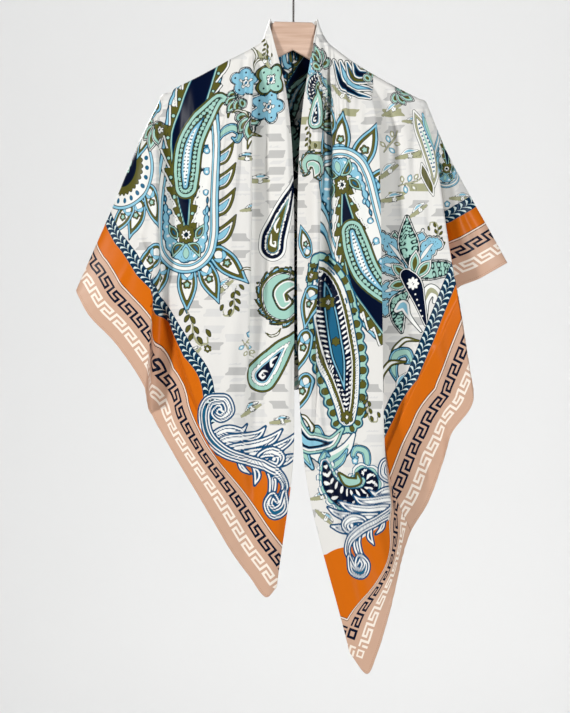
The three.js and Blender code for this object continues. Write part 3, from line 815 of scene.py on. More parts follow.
# %% Drops, scrolls and long leaves
NAVY_DROP = [
    ("line", [(27, -82, 1), (23, -62, 5), (14, -34, 11), (4, -2, 16), (0, 16, 18), (0, 24, 18)],
     [("line", -0.7), ("petal", 0), ("line", 2.9), ("navy", 3.4), ("petal", 6.8, "scallop", 1.6, 4.6),
      ("sky", 9.4), ("mint", 10.0), ("olive", 10.9)]),
    ("line", [(6, -14, 0.7), (1, -2, 1.6), (5, 5, 1.0), (6, 0, 0.8)], CURL),
    ("line", [(-3, 8, 0.7), (-3, 20, 1.6), (4, 23, 1.3), (4, 17, 0.9), (1, 17, 0.8)], CURL),
]
MINT_DROP = [
    ("line", [(2, -78, 1), (2, -56, 7), (0, -30, 15), (0, 0, 21), (0, 12, 22)],
     [("line", -0.7), ("olive", 0), ("line", 2.0), ("mint", 2.7),
      *edged("scallop", 2.4, 5.4, ("line", 7.2), ("petal", 7.9)),
      ("line", 12.2), ("blue", 12.7), ("navy", 14.2)]),
    ("line", [(0, -22, 0.7), (-3, -12, 1.7), (2, -6, 1.5), (2, -11, 0.8)], CURL),
    ("line", [(3, 2, 0.8), (-3, 6, 1.5), (-3, 13, 1.6), (3, 14, 1.4), (3, 9, 1.0), (0, 9, 0.8)], CURL),
]
LOBED_PLUME = [
    ("line", [(-34, -128, 20), (-22, -96, 36), (-14, -60, 42), (-4, -6, 43), (4, 30, 37), (9, 63, 30),
              (10, 84, 25)],
     [*edged("scallop", 3.4, 17, ("line", -0.8), ("sky", 0), ("mint", 1.6)),
      ("line", 8.4, "bead", 5.6, 17), ("olive", 8.4, "bead", 4.8, 17), ("line", 11.4), ("sky", 12.2),
      ("white", 13.4), ("sky", 16.0, "bead", 1.2, 6),
      *edged("scallop", 1.6, 7, ("line", 17.8), ("olive", 18.4)),
      ("line", 22.2), ("petal", 22.8), ("navy", 24.4),
      ("petal", 28.4, "dash", 1.7, 7), ("sky", 33.0), ("blue", 33.8), ("line", 35.4), ("sky", 37.0)]),
    ("flower", (-18, -74, 11, 6, 0.3), BLOOM),
    ("flower", (-6, -20, 7, 6, 0.3), BLOOM),
    ("flower", (10, 84, 10, 6, 0.3), BLOOM),
    ("line", [(20, 108, 3), (8, 128, 8), (-16, 142, 10), (-42, 136, 3)],
     [("line", -0.8), ("sky", 0), ("white", 1.0), ("mint", 6.0)]),
]
SWIRL = [
    ("line", [(32, -26, 2), (10, -32, 9), (-16, -22, 12), (-22, 4, 13), (-4, 22, 12), (16, 16, 9)],
     [*edged("saw", 6, 13, ("line", -9.6), ("olive", -8.6), ("line", -6.6), ("blue", -6.0), ("white", -3.8)),
      ("line", -1.6), ("olive", -0.8), ("line", 1.6), ("white", 2.2), ("line", 4.0), ("mint", 4.6)]),
    ("line", [(34, -14, 2), (14, -18, 9), (-4, -8, 10), (-2, 8, 8), (10, 6, 4), (8, -2, 2)],
     [("line", -1.2), ("olive", -0.2), ("line", 1.6), ("white", 2.2), ("mint", 4.4)]),
]
LONG_LEAF = [
    ("line", [(-8, -70, 2), (0, -44, 10), (12, -4, 13), (18, 36, 9), (14, 68, 1)],
     [("line", -0.8), ("white", 0), ("line", 2.6), ("sage", 3.2), ("line", 5.6), ("white", 6.2),
      ("sky", 9.0, "bead", 1.6, 7), ("mint", 11.0)]),
    ("line", [(6, -64, 1), (14, -40, 7), (22, -14, 6), (26, 6, 1)],
     [("line", -0.8), ("blue", 0), ("line", 2.2), ("mint", 2.8)]),
    ("line", [(-2, 20, 1), (2, 40, 7), (10, 60, 6), (14, 76, 1)],
     [("line", -0.8), ("white", 0), ("line", 2.0), ("olive", 2.6)]),
]
print("lobed plume:", len(LOBED_PLUME), "parts")

# %% Twigs, collar flowers and sprays
TWIG = [
    ("line", [(-14, -26, 0.6), (-6, -8, 1.1), (-4, 10, 1.3), (6, 22, 2.0), (16, 20, 1), (16, 12, 1)],
     [("line", -0.5), ("sage", 0)]),
    *[("line", [(x, y, 0.5), (x + 3 * side, y + 4, 2.7), (x + 5 * side, y + 8, 1.4)], OLIVE_LEAF)
      for x, y, side in ((-19, -27, -1), (-11, -18, -1), (-8, -16, 1), (-9, -4, -1), (-3, -2, 1), (-5, 8, -1),
                         (2, 12, 1), (14, 2, 1))],
]
PALE_TWIG = [
    ("line", [(-16, 8, 0.8), (-4, 2, 1.1), (8, -4, 1.0), (17, -12, 0.7)], PEN_LEAF),
    *[("line", [(x, y, 0.6), (x + dx / 2, y + dy / 2, 3.2), (x + dx, y + dy, 0.6)],
       [("line", -0.6), (ink, 0), ("petal", 1.7)])
      for x, y, dx, dy, ink in ((-11, 2, -3, -10, "sage"), (-2, -2, 1, -10, "blue"), (6, -7, 3, -9, "sage"),
                                (-6, 7, 4, 9, "blue"), (4, 3, 7, 6, "sage"))],
]
COLLAR_FLOWER = [
    ("flower", (0, 0, 23, 5, 0.32),
     [("line", -1.2), ("white", 0), ("sky", 1.2), ("blue", 2.2), ("line", 13.0), ("white", 13.8)]),
    ("flower", (0, 0, 5, 6, 0.3), [("line", -0.8), ("petal", 0), ("sky", 2.2)]),
    *dot_ring(5, 15.5),
]
MINT_FLOWER = [
    ("flower", (0, 0, 23, 4, 0.34),
     [("line", -1.2), ("olive", -0.2), ("line", 2.0), ("mint", 2.8), ("line", 14.0), ("white", 14.8)]),
    ("flower", (0, 0, 6.5, 6, 0.4), [("line", -0.8), ("petal", 0), ("sky", 2.6)]),
    *dot_ring(4, 15),
]
DARK_SPRAY = [
    ("line", [(x / 4, y / 4, 2), (x * 0.6, y * 0.6, 6), (x, y, 0.5)],
     [("line", -1.6), ("white", -0.6), ("line", 0.2), ("mint", 1.0), ("olive", 3.4)])
    for x, y in ((-16, 10), (-10, 24), (2, 32), (12, 24), (16, 8))
]
print("twig:", len(TWIG), "parts")

# %% The lotus
LOTUS = [
    *[("line", points, layers) for layers, points in (
        (BLUE_LEAF, [(-10, 10, 5), (-30, 26, 10), (-34, 40, 2)]),
        (MINT_LEAF, [(-12, -20, 5), (-22, -40, 10), (-22, -58, 2)]),
        (BLUE_LEAF, [(4, -16, 5), (8, -44, 9), (12, -62, 1)]),
        (BLUE_LEAF, [(-6, -12, 5), (-20, -36, 11), (-34, -52, 7), (-38, -60, 1)]),
        (BLUE_LEAF, [(-8, -6, 5), (-28, -20, 11), (-46, -22, 4)]),
        (BLUE_LEAF, [(-8, 4, 5), (-28, 10, 11), (-44, 14, 4)]),
        (BLUE_LEAF, [(3, -14, 5), (14, -34, 11), (26, -46, 9), (34, -44, 3)]),
        (MINT_LEAF, [(0, -20, 5), (-5, -44, 12), (-7, -62, 7), (-7, -78, 1)]),
        (MINT_LEAF, [(6, -8, 4), (24, -14, 10), (40, -16, 8), (52, -8, 2)]),
        (MINT_LEAF, [(-8, 14, 3), (-19, 28, 9), (-18, 44, 7), (-14, 60, 1)]),
    )],
    ("line", [(10, 60, 1), (-6, 40, 3), (-12, 28, 6), (-20, 34, 3)],
     [("line", -1.0), ("petal", 0), ("blue", 2.6)]),
    ("line", [(16, 50, 1), (15, 26, 4), (22, 10, 7), (30, 16, 5), (26, 24, 2)],
     [("line", -1.0), ("petal", 0), ("sage", 4.0)]),
    *[("line", [(x / 4, y / 4, 3), (x * 0.6, y * 0.6, 7), (x, y, 0.5)],
       [("line", -0.9), ("white", 0), ("line", 1.4), ("mint", 2.0), ("olive", 4.0)])
      for x, y in ((-30, 6), (-26, -22), (4, -38), (22, -26))],
    ("line", [(-8, -8, 7), (0, 2, 10), (8, 24, 6), (16, 52, 1)],
     [("line", -1.8), ("white", -1.0), ("navy", 0)]),
    ("flower", (0, 2, 7.8, 8, 0.4), [("petal", 0), ("dot", 5.4)]),
    *[("flower", (3 + 2.1 * step, 15 + 6.6 * step, 1.2, 0, 0), CURL) for step in range(5)],
]
print("lotus:", len(LOTUS), "parts")

# %% Small curls, and the corner's acanthus
CREST = [
    ("line", [(-34, -26, 3), (-26, 0, 10), (-4, 16, 12), (18, 10, 10), (24, -6, 7), (14, -16, 5), (4, -8, 3)],
     [*edged("scallop", 4, 11, ("sky", -8), ("white", -7)),
      *edged("scallop", 3, 11, ("sky", -4.4), ("mint", -3.6)),
      ("sky", -0.9), ("navy", 0), ("petal", 5.0, "dash", 2.0, 9)]),
    ("line", [(-16, -14, 2), (-4, -4, 6), (8, -6, 4), (6, -14, 2)],
     [("line", -0.8), ("olive", 0), ("mint", 2)]),
]
MINT_CURL = [
    ("line", [(-18, 22, 2), (-14, 2, 6), (0, -12, 7), (14, -6, 6), (12, 6, 4), (4, 4, 2)],
     [("line", -0.9), ("sky", 0), ("blue", 0.9), ("line", 2.4), ("mint", 3.0)]),
]
CRESCENT = [
    ("line", [(-24, 8, 1), (-10, -6, 3.6), (8, -8, 3.6), (24, 6, 1)],
     [("line", -0.8), ("olive", 0), ("petal", 1.8)]),
]
SKETCH = [
    ("line", [(-18, 7, 2), (-4, 2, 4), (16, -5, 2)], PEN_LEAF),
    ("line", [(-10, 0, 1), (0, -7, 3.4), (13, -10, 1)], [("line", -0.5), ("petal", 0), ("blue", 1.6)]),
    ("flower", (3, 0, 4, 5, 0.4), [("line", -0.5), ("petal", 0), ("sage", 2.6)]),
]
ACANTHUS = [
    *[("line", points, STRAND) for points in (
        [(-16, 14, 2), (-10, 26, 4), (2, 34, 1)],
        [(6, 22, 2), (12, 36, 5), (8, 50, 1)],
        [(24, 26, 2), (34, 44, 6), (32, 60, 5), (22, 70, 1)],
        [(30, 24, 3), (50, 16, 7), (68, 8, 2)],
        [(-56, -10, 2), (-46, -20, 6), (-28, -26, 7), (-12, -25, 4), (-2, -34, 1)],
        [(-52, -2, 3), (-32, -12, 7), (-6, -15, 7), (14, -20, 5), (24, -31, 1)],
        [(-44, 5, 3), (-18, -1, 7), (10, -5, 7), (34, -14, 6), (48, -27, 1)],
        [(-26, 11, 3), (4, 7, 7), (32, 2, 7), (56, -10, 5), (68, -22, 1)],
        [(8, 19, 2), (18, 8, 5), (34, 4, 7), (46, 12, 6), (40, 22, 4), (30, 17, 3)],
    )],
    ("flower", (36, 14, 4, 0, 0), [("teal", 0), ("petal", 1.6)]),
    ("line", [(-38, -52, 2), (-42, -58, 4), (-49, -50, 5), (-40, -43, 6), (-28, -54, 7), (-36, -69, 7),
              (-54, -67, 8), (-64, -46, 9), (-58, -18, 9), (-34, 4, 8), (-2, 15, 7), (26, 24, 7), (44, 36, 6),
              (51, 52, 5), (46, 66, 5)], STEM),
    ("line", [(50, 60, 4), (48, 80, 8), (36, 88, 9), (27, 76, 7), (34, 64, 5), (40, 72, 4)], STEM),
]
print("acanthus:", len(ACANTHUS), "parts")

# %% [markdown]
# The ground is a pale broken houndstooth: staggered notched blocks in two greys with thin slanted bars
# between them, some left out. Near the right shoulder some of the blocks are sage instead.


# %% Houndstooth ground
def houndstooth(cloth, width=31.0, height=23.0):
    """Greys inside the blocks of a grid of cells, each column half a step lower than the last.

    With a across and b down from a cell's middle, a block is |b| < 5.4 and |a - lean b| < 8 + 0.6 |b| + more,
    and the bar between two of them is |b'| < 2.6 and |a + 1.6 b'| < 9, with b' from the cell's foot. A sine
    of the cell's place picks lean, more and which cells are left out."""
    u, v = cloth["flat_u"] + 2 * np.sin(cloth["flat_v"] / 60), cloth["flat_v"]
    column = np.floor(u / width)
    lower = v + height / 2 * (column % 2)
    row = np.floor(lower / height)
    pick = np.sin(column * 12.99 + row * 78.23) * 437.58 % 1
    a = u - (column + 0.5) * width + 9 * (pick - 0.5)
    b = lower - (row + 0.5) * height
    lean = np.where(pick * 7 % 1 < 0.5, 0.7, -0.7)
    block = np.minimum(5.4 - np.abs(b), 8 + 0.6 * np.abs(b) + 5 * (pick * 3 % 1) - np.abs(a - lean * b))
    foot = b - np.sign(b) * height / 2
    bar = np.minimum(2.6 - np.abs(foot), 9 - np.abs(a + 1.6 * foot))
    passes = [
        ("pale", pick < 0.66, block),
        ("pale", pick < 0.4, bar),
        ("grey", (pick > 0.22) & (pick < 0.46), block),
    ]
    if cloth["name"] in ("right_side_panel", "right_front_fall"):
        passes.append(("sage", (pick > 0.46) & (pick < 0.7) & (v < 260), block))
    for ink, kept, inside in passes:
        press(cloth, np.arange(u.size), ink, np.where(kept, inside, NO_INK))


# %% [markdown]
# Where each motif lies: its parts, then its places in `u` and `v`, each with a turn in degrees, a scale and a
# flip where they aren't 0, 1 and 1. The tables follow the photograph's layout for the fronts. The back is
# hidden there, so it carries more of the same. Later rows lie over earlier ones.

# %% Motif tables
MOTIFS = {
    "left_front_fall": [
        (PALE_TWIG, [(-62, 452, 80, 0.8)]),
        (SKETCH, [
            (-56, 536, -10, 0.9), (-14, 552, 14, 0.8), (-96, 368, -20, 0.9), (-38, 220, 20, 0.9),
            (-62, 190, -20, 0.8, -1), (-140, 462, -24, 0.9), (-60, 260, 10, 0.7),
        ]),
        (PETAL, [
            (-188, 344, 22, 0.92), (-148, 352, 0, 0.98), (-120, 346, -22, 0.92), (-100, 326, -46),
            (-212, 322, 48, 0.95),
        ]),
        (FLANK_LEAF, [(-104, 296), (-104, 258, 0, 0.95), (-102, 222, 0, 0.9), (-102, 190, 0, 0.8)]),
        (MINT_CURL, [(-86, 158, 20, 0.85)]),
        (PETAL, [(-236, 258, 20, 0.9), (-214, 240, -12, 0.9), (-256, 262, 42, 0.9)]),
        (MEDALLION, [(-268, 196, 0, 1.4)]),
        (PETAL, [(-212, 150, 30, 0.9), (-200, 118, 60, 0.9)]),
        (DARK_SPRAY, [(-196, 138, 20, 1.3)]),
        (PLUME, [(-150, 268)]),
        (BLOSSOM, [(-186, 150)]),
        (DARK_SPRAY, [(-58, 128, 10, 1.2), (-74, 104, 40, 0.9)]),
        (COLLAR_FLOWER, [(-28, 118, 16, 1.05), (-66, 84, 0, 0.95)]),
        (MINT_FLOWER, [(-27, 80, 40, 1.05)]),
        (SKETCH, [(-40, 52, 70, 0.8)]),
        (CRESCENT, [(-56, 44, 70, 0.55), (-48, 58, -50, 0.5)]),
        (TWIG, [(-36, 40, 20, 0.5)]),
        (CRESCENT, [(-72, 128, 20, 0.5), (-52, 164, -30, 0.7)]),
        (NAVY_DROP, [(-16, 286, 6, 1.08)]),
        (SWIRL, [(-6, 384, -16, 0.92)]),
        (MINT_DROP, [(-32, 480, 40, 1.02)]),
        (TWIG, [(-134, 424), (-86, 388, -10, 0.8, -1)]),
        (CRESCENT, [(-22, 430, 170, 0.5), (-62, 346, 20, 0.5)]),
        (ROSETTE, [(-60, 432, 0, 1.1)]),
        (BLOSSOM, [(-118, 452, 0, 0.5)]),
    ],
    "right_front_fall": [
        (SKETCH, [(40, 684, 60, 0.8), (34, 656, 10, 0.8), (66, 100, 60, 0.9)]),
        (PETAL, [(62, 176, 186), (92, 190, 206, 1.05), (112, 226, 240), (34, 196, 164, 0.9)]),
        (PLUME, [(71, 253, 166, 1.0, -1)]),
        (LOBED_PLUME, [(62, 462)]),
        (PETAL, [(4, 316, 160, 0.7), (14, 380, 10, 0.9), (8, 440, 14, 0.9), (10, 500, 20, 0.9)]),
        (BLOSSOM, [(14, 352, 0, 0.7)]),
        (MINT_CURL, [(22, 582, -40, 1.2)]),
        (CRESCENT, [(12, 556, 60, 0.8)]),
        (TWIG, [(106, 536, 10, 0.7)]),
        (SWEEP, [(10, 560)]),
        (MINT_CURL, [(92, 600, 30, 0.8, -1), (50, 604, 200, 0.9)]),
        (CREST, [(80, 640, 0, 1.15)]),
        (COLLAR_FLOWER, [(16, 62, 160, 0.8)]),
        (STRIPES, [(84, 88, 6, 1.3)]),
        (CREST, [(14, 96, 90, 0.6)]),
        (DARK_SPRAY, [(108, 84, 200, 0.8), (34, 66, 170, 1.1)]),
        (LONG_LEAF, [(34, 116, -8, 0.62)]),
        (PETAL, [(46, 150, 184, 0.62)]),
        (DARK_SPRAY, [(30, 150, 190)]),
        (MINT_DROP, [(10, 132, 10, 0.55)]),
        (TWIG, [(2, 166, 20, 0.6)]),
        (SWIRL, [(4, 200, 90, 0.5)]),
        (ROSETTE, [(84, 606, 0, 1.1)]),
    ],
    "right_side_panel": [
        (SKETCH, [(136, 122, -12, 0.8), (164, 138, 16, 0.7)]),
        (PALE_TWIG, [(134, 168, -26, 0.9)]),
        (SKETCH, [(158, 186, 8, 0.9), (130, 208, -16, 0.9)]),
        (PALE_TWIG, [(160, 224, 12, 0.9)]),
        (SKETCH, [(136, 246, 12, 0.9), (172, 262, -16, 0.8)]),
        (LONG_LEAF, [(177, 180, -4, 0.82)]),
        (DARK_SPRAY, [(140, 96, -60, 0.9)]),
        (TWIG, [(196, 292, 190, 0.6)]),
        (LOTUS, [(164, 360, 0, 1.14)]),
        (CRESCENT, [(150, 452, -40)]),
        (MINT_CURL, [(148, 470, -30)]),
        (CRESCENT, [(132, 486, -50, 1.1)]),
        (SKETCH, [(150, 500, -30)]),
    ],
    "right_elbow_flap": [
        (PLUME, [(214, 190, 10, 0.5)]),
        (SKETCH, [(232, 244, 20, 0.8)]),
        (ROSETTE, [(212, 252)]),
    ],
    "back_panel": [
        (PETAL, [(-164, 312, 22, 0.92), (-122, 326, 0, 0.98), (-86, 314, -26, 0.95)]),
        (PLUME, [(-122, 236)]),
        (PETAL, [(188, 312, -22, 0.92), (146, 326, 0, 0.98), (110, 314, 26, 0.95)]),
        (PLUME, [(146, 236, 0, 1.0, -1)]),
        (STRIPES, [(-4, 66, 20, 1.4)]),
        (MEDALLION, [(16, 104, 0, 0.62)]),
        (PLUME, [(-10, 150, 10, 0.55)]),
        (COLLAR_FLOWER, [(-34, 96, 20, 0.8), (36, 98, -20, 0.8)]),
        (LOTUS, [(6, 220, 0, 1.1)]),
        (LOBED_PLUME, [(6, 390, 0, 0.8)]),
        (PLUME, [(-232, 240, 20, 0.7, -1), (258, 220, -20, 0.7)]),
        (MINT_DROP, [(-52, 300, -24), (66, 296, 24, 1.0, -1)]),
        (NAVY_DROP, [(-70, 150, 20, 0.7), (84, 150, -20, 0.7, -1)]),
        (SWIRL, [(-62, 420, 10), (76, 420, -10, 1.0, -1)]),
        (COLLAR_FLOWER, [(-176, 176, 20, 0.8), (204, 176, -20, 0.8, -1)]),
        (TWIG, [(-116, 424, 10), (134, 410, -10, 1.0, -1)]),
        (CREST, [(-164, 404, 20, 0.9), (184, 376, -20, 0.9, -1)]),
        (SKETCH, [(-10, 474, 0, 1.1), (34, 486, 14, 1.1), (-96, 468, -14, 1.1), (110, 460, 14, 1.1)]),
        (ROSETTE, [(-8, 300, 0, 1.2)]),
        (CRESCENT, [(-140, 452, 10)]),
    ],
}
motif_count = sum(len(places) for rows in MOTIFS.values() for _, places in rows)
print("motif tables:", motif_count, "places")

# %% [markdown]
# The ground goes on first and the motifs over it. The border then cuts them off, the orange is laid in, and
# last an acanthus scroll is printed over the orange in the corner of each point.

# %% Printing the cloth
CORNER_SCROLLS = {"left_front_fall": (-60, 590), "right_front_fall": (108, 676, -12, 0.9, -1)}
# Orange ground under each scroll: a bent line of (u, v, radius)
CORNER_GROUND = {
    "left_front_fall": [(-130, 566, 10), (-104, 600, 22), (-74, 630, 28), (-40, 660, 38), (-16, 690, 44)],
    "right_front_fall": [(142, 690, 8), (122, 724, 26), (94, 754, 36), (66, 776, 50)],
}
# Where the border's parts begin, in mm from the hem
ORANGE_START = 64.0
SCROLL_START = 66.0
ROPE_START = 88.0
BORDER_DEPTH = 105.0
# Further back than this along the run, the border has turned the scarf's corner and run no longer counts
RUN_LIMIT = -50
TOP_INKS = ("teal", "petal", "dot")


for cloth in cloths:
    houndstooth(cloth)
    for parts, places in MOTIFS[cloth["name"]]:
        for place in places:
            print_motif(cloth, parts, *place)
    depth = np.minimum(cloth["depth"], np.where(cloth["run"] > RUN_LIMIT, cloth["run"], 1e3)).ravel()
    rope = cloth["rope"].ravel()
    ground = np.minimum(ROPE_START - depth, rope)
    if cloth["name"] in CORNER_SCROLLS:
        corner, _ = swept(bent_line(CORNER_GROUND[cloth["name"]]), cloth["flat_u"], cloth["flat_v"])
        ground = np.maximum(ground, corner)
    border = np.maximum(np.maximum(ground, np.minimum(BORDER_DEPTH - depth, rope)), ORANGE_START - depth)
    cloth["screens"] = np.minimum(cloth["screens"], -border)
    cloth["screens"][INK_NUMBER["orange"]] = ground
    if cloth["name"] in CORNER_SCROLLS:
        print_motif(cloth, ACANTHUS, *CORNER_SCROLLS[cloth["name"]])
        for ink in TOP_INKS:
            screen = cloth["screens"][INK_NUMBER[ink]]
            np.minimum(screen, depth - SCROLL_START, out=screen)
print("motifs printed:", motif_count + len(CORNER_SCROLLS))

# %% [markdown]
# ## The cloth as meshes
#
# A folded square has two layers. The outer face is a fine grid, the layer under it follows 1.4 mm inside on
# a grid half as fine, and a narrow rounded rim joins them, so each stretch is a thin closed shell.

# %% Mesh makers
CLOTH_THICKNESS = 1.4


def grid_faces(number):
    """Quads of a grid of point numbers, wound so that their normals point out of the cloth."""
    a, b, c, d = number[:-1, :-1], number[:-1, 1:], number[1:, 1:], number[1:, :-1]
    return np.stack([a, b, c, d], axis=-1).reshape(-1, 4)


def edge_ring(rows, columns):
    """Row and column of each point round the edge of a grid, in order."""
    top = np.stack([np.zeros(columns - 1, int), np.arange(columns - 1)], axis=1)
    right = np.stack([np.arange(rows - 1), np.full(rows - 1, columns - 1)], axis=1)
    low = np.stack([np.full(columns - 1, rows - 1), np.arange(columns - 1, 0, -1)], axis=1)
    left = np.stack([np.arange(rows - 1, 0, -1), np.zeros(rows - 1, int)], axis=1)
    return np.concatenate([top, right, low, left])


def cloth_shell(cloth):
    """The shell of one stretch: outer grid, narrow rim and inner grid, and which outer point each copies.

    The rim's outer ring is fine and its inner one is coarse, so a quad and a triangle join every two fine
    edges to one coarse edge."""
    points, normal = cloth["points"], cloth["normal"]
    rows, columns = points.shape[:2]
    number = np.arange(rows * columns).reshape(rows, columns)
    fine = edge_ring(rows, columns)
    coarse = edge_ring(rows, columns)[::2]
    middle = points[fine[:, 0], fine[:, 1]] - normal[fine[:, 0], fine[:, 1]] * CLOTH_THICKNESS / 2
    under = points[::2, ::2] - normal[::2, ::2] * CLOTH_THICKNESS
    under_number = rows * columns + len(fine) + np.arange(under.shape[0] * under.shape[1])
    under_number = under_number.reshape(under.shape[:2])
    outer_ring = number[fine[:, 0], fine[:, 1]]
    middle_ring = rows * columns + np.arange(len(fine))
    inner_ring = under_number[coarse[:, 0] // 2, coarse[:, 1] // 2]
    step_on = np.roll(middle_ring, -1)
    quads = [
        grid_faces(number),
        grid_faces(under_number)[:, ::-1],
        np.stack([np.roll(outer_ring, -1), outer_ring, middle_ring, step_on], axis=1),
        np.stack([step_on[::2], middle_ring[::2], inner_ring, np.roll(inner_ring, -1)], axis=1),
    ]
    triangles = np.stack([step_on[1::2], step_on[::2], np.roll(inner_ring, -1)], axis=1)
    all_points = np.concatenate([points.reshape(-1, 3), middle, under.reshape(-1, 3)])
    copies = np.concatenate([number.ravel(), outer_ring, number[::2, ::2].ravel()])
    return all_points / 1000, np.concatenate(quads), triangles, copies


def fill_mesh(name, points, quads, triangles):
    """A mesh from arrays of points, quads and triangles."""
    mesh = bpy.data.meshes.new(name)
    mesh.vertices.add(len(points))
    mesh.vertices.foreach_set("co", points.astype(np.float32).ravel())
    corners = np.concatenate([quads.ravel(), triangles.ravel()]).astype(np.int32)
    sizes = np.repeat([4, 3], [len(quads), len(triangles)]).astype(np.int32)
    mesh.loops.add(len(corners))
    mesh.loops.foreach_set("vertex_index", corners)
    mesh.polygons.add(len(sizes))
    mesh.polygons.foreach_set("loop_start", (np.cumsum(sizes) - sizes).astype(np.int32))
    mesh.polygons.foreach_set("loop_total", sizes)
    mesh.update(calc_edges=True)
    mesh.validate()
    mesh.shade_smooth()
    return mesh


SCREEN_SETS = (len(INKS) + 2) // 3
SCREEN_LIMIT = 4.0


def add_cloth_data(mesh, cloth, copies):
    """Stores the flat coordinates as a UV map in metres, and border and screens as attributes in mm."""
    flat = np.stack([cloth["flat_u"], cloth["flat_v"]], axis=1)[copies] / 1000
    corner = np.empty(len(mesh.loops), np.int32)
    mesh.loops.foreach_get("vertex_index", corner)
    mesh.uv_layers.new(name="flat_cloth").uv.foreach_set("vector", flat[corner].astype(np.float32).ravel())
    screens = np.full((SCREEN_SETS * 3, len(copies)), NO_INK)
    screens[:len(INKS)] = np.clip(cloth["screens"][:, copies], -SCREEN_LIMIT, SCREEN_LIMIT)
    triples = {"border": [cloth[key].ravel()[copies] for key in ("run", "depth", "rope")]}
    triples.update({f"screens_{number}": screens[3 * number:3 * number + 3] for number in range(SCREEN_SETS)})
    for label, values in triples.items():
        data = mesh.attributes.new(label, "FLOAT_VECTOR", "POINT").data
        data.foreach_set("vector", np.stack(values, axis=1).astype(np.float32).ravel())


# %% [markdown]
# Every shell is made, tied to the object's one body, and put in place of the solid that it stands for.

# %% The cloth meshes
scarf_pieces = {}
for cloth in cloths:
    points, quads, triangles, copies = cloth_shell(cloth)
    name = cloth["name"].replace("_fall", "_silk").replace("_panel", "_silk").replace("_flap", "_flap_silk")
    mesh = fill_mesh(name, points, quads, triangles)
    add_cloth_data(mesh, cloth, copies)
    piece = add_object(name, mesh)
    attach(piece, "root")
    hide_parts(cloth["name"])
    scarf_pieces[cloth["name"]] = piece
    print(name, 2 * len(quads) + len(triangles), "triangles")

# %% [markdown]
# ## Silk
#
# The material puts the print back together. A shared node group turns a screen's distance into a mask, the
# inks are mixed in their order, and the border is worked out from run and depth: key bands, a fine dotted
# line, a dark and a pale one, and the rope. The orange between them comes from its own screen. Printed satin
# is smooth along its threads, so a faint weave and an even roughness are all that its surface needs.


# %% Node helpers
def feed(place, value):
    """Links a socket to an input, or sets the input to a number, vector or colour."""
    if isinstance(value, bpy.types.NodeSocket):
        place.id_data.links.new(value, place)
    else:
        place.default_value = value


def dress(node, **given):
    """Feeds a node's inputs by their labels, with _ for a space, and gives the node back."""
    for label, value in given.items():
        feed(node.inputs[label.replace("_", " ")], value)
    return node


def add_node(tree, kind, **given):
    """Adds a shader node of a kind, with its inputs fed."""
    return dress(tree.nodes.new("ShaderNode" + kind), **given)


def maths(operation, *values):
    """One Math node on sockets and numbers, in the tree that the sockets belong to."""
    tree = next(value for value in values if isinstance(value, bpy.types.NodeSocket)).id_data
    node = tree.nodes.new("ShaderNodeMath")
    node.operation = operation
    for place, value in zip(node.inputs, values):
        feed(place, value)
    return node.outputs[0]


def product(first, *others):
    """The product of two or more sockets or numbers."""
    for other in others:
        first = maths("MULTIPLY", first, other)
    return first


def between(value, low, high):
    """1 where low < value < high, else 0."""
    return product(maths("GREATER_THAN", value, low), maths("LESS_THAN", value, high))


def mixed(factor, below, above):
    """Colour above over colour below by a factor. Colours are sockets or tuples."""
    node = factor.id_data.nodes.new("ShaderNodeMix")
    node.data_type = "RGBA"
    for place, value in ((0, factor), (6, below), (7, above)):
        feed(node.inputs[place], value)
    return node.outputs[2]


def linear(colour):
    """An sRGB colour in 0..255 as the linear values that shaders use."""
    share = np.array(colour) / 255
    value = np.where(share <= 0.04045, share / 12.92, ((share + 0.055) / 1.055) ** 2.4)
    return (*map(float, value), 1.0)


def new_group(name, output, **inputs):
    """An empty shader node group: the group, the sockets that it is given and the one that it fills."""
    group = bpy.data.node_groups.new(name, "ShaderNodeTree")
    for label, kind in inputs.items():
        group.interface.new_socket(name=label, in_out="INPUT", socket_type="NodeSocket" + kind)
    group.interface.new_socket(name=output, in_out="OUTPUT", socket_type="NodeSocketFloat")
    given, made = group.nodes.new("NodeGroupInput"), group.nodes.new("NodeGroupOutput")
    return group, given.outputs, made.inputs[output]


def use_group(tree, group, **given):
    """Places a node group with its inputs fed, and gives back its output."""
    node = tree.nodes.new("ShaderNodeGroup")
    node.node_tree = group
    return dress(node, **given).outputs[0]


def two_tones(tree, value, low, high, start=0.0, end=1.0):
    """A colour ramp that goes from low at start to high at end. Colours are linear."""
    ramp = add_node(tree, "ValToRGB", Fac=value)
    for element, place, colour in zip(ramp.color_ramp.elements, (start, end), (low, high)):
        element.position = place
        element.color = colour
    return ramp.outputs["Color"]


# %% [markdown]
# The key pattern is a running meander on a small chart, seven cells long and five high. Each row of the
# chart is written as it looks, from the side of the scarf's middle down to the hem, and is held in the
# shader as one number whose binary digits are its cells.

# %% Border node groups
KEY_CHART = ("1111110", "1000010", "1011110", "1010000", "1011111")
KEY_LENGTH = 24.5
KEY_HEIGHT = 14.4
# The rope's two rows of dashes: depth of the middle, lean, and shift along the hem in shares of the pitch
ROPE_ROWS = ((92.4, 0.62, 0.0), (100.8, -0.62, 0.5))
ROPE_PITCH = 8.6
INK_SOFTNESS = 0.3


def row_number(row):
    """A chart row as a number: cell i is worth 2 to the power i."""
    return float(sum(2**i for i, cell in enumerate(row) if cell == "1"))


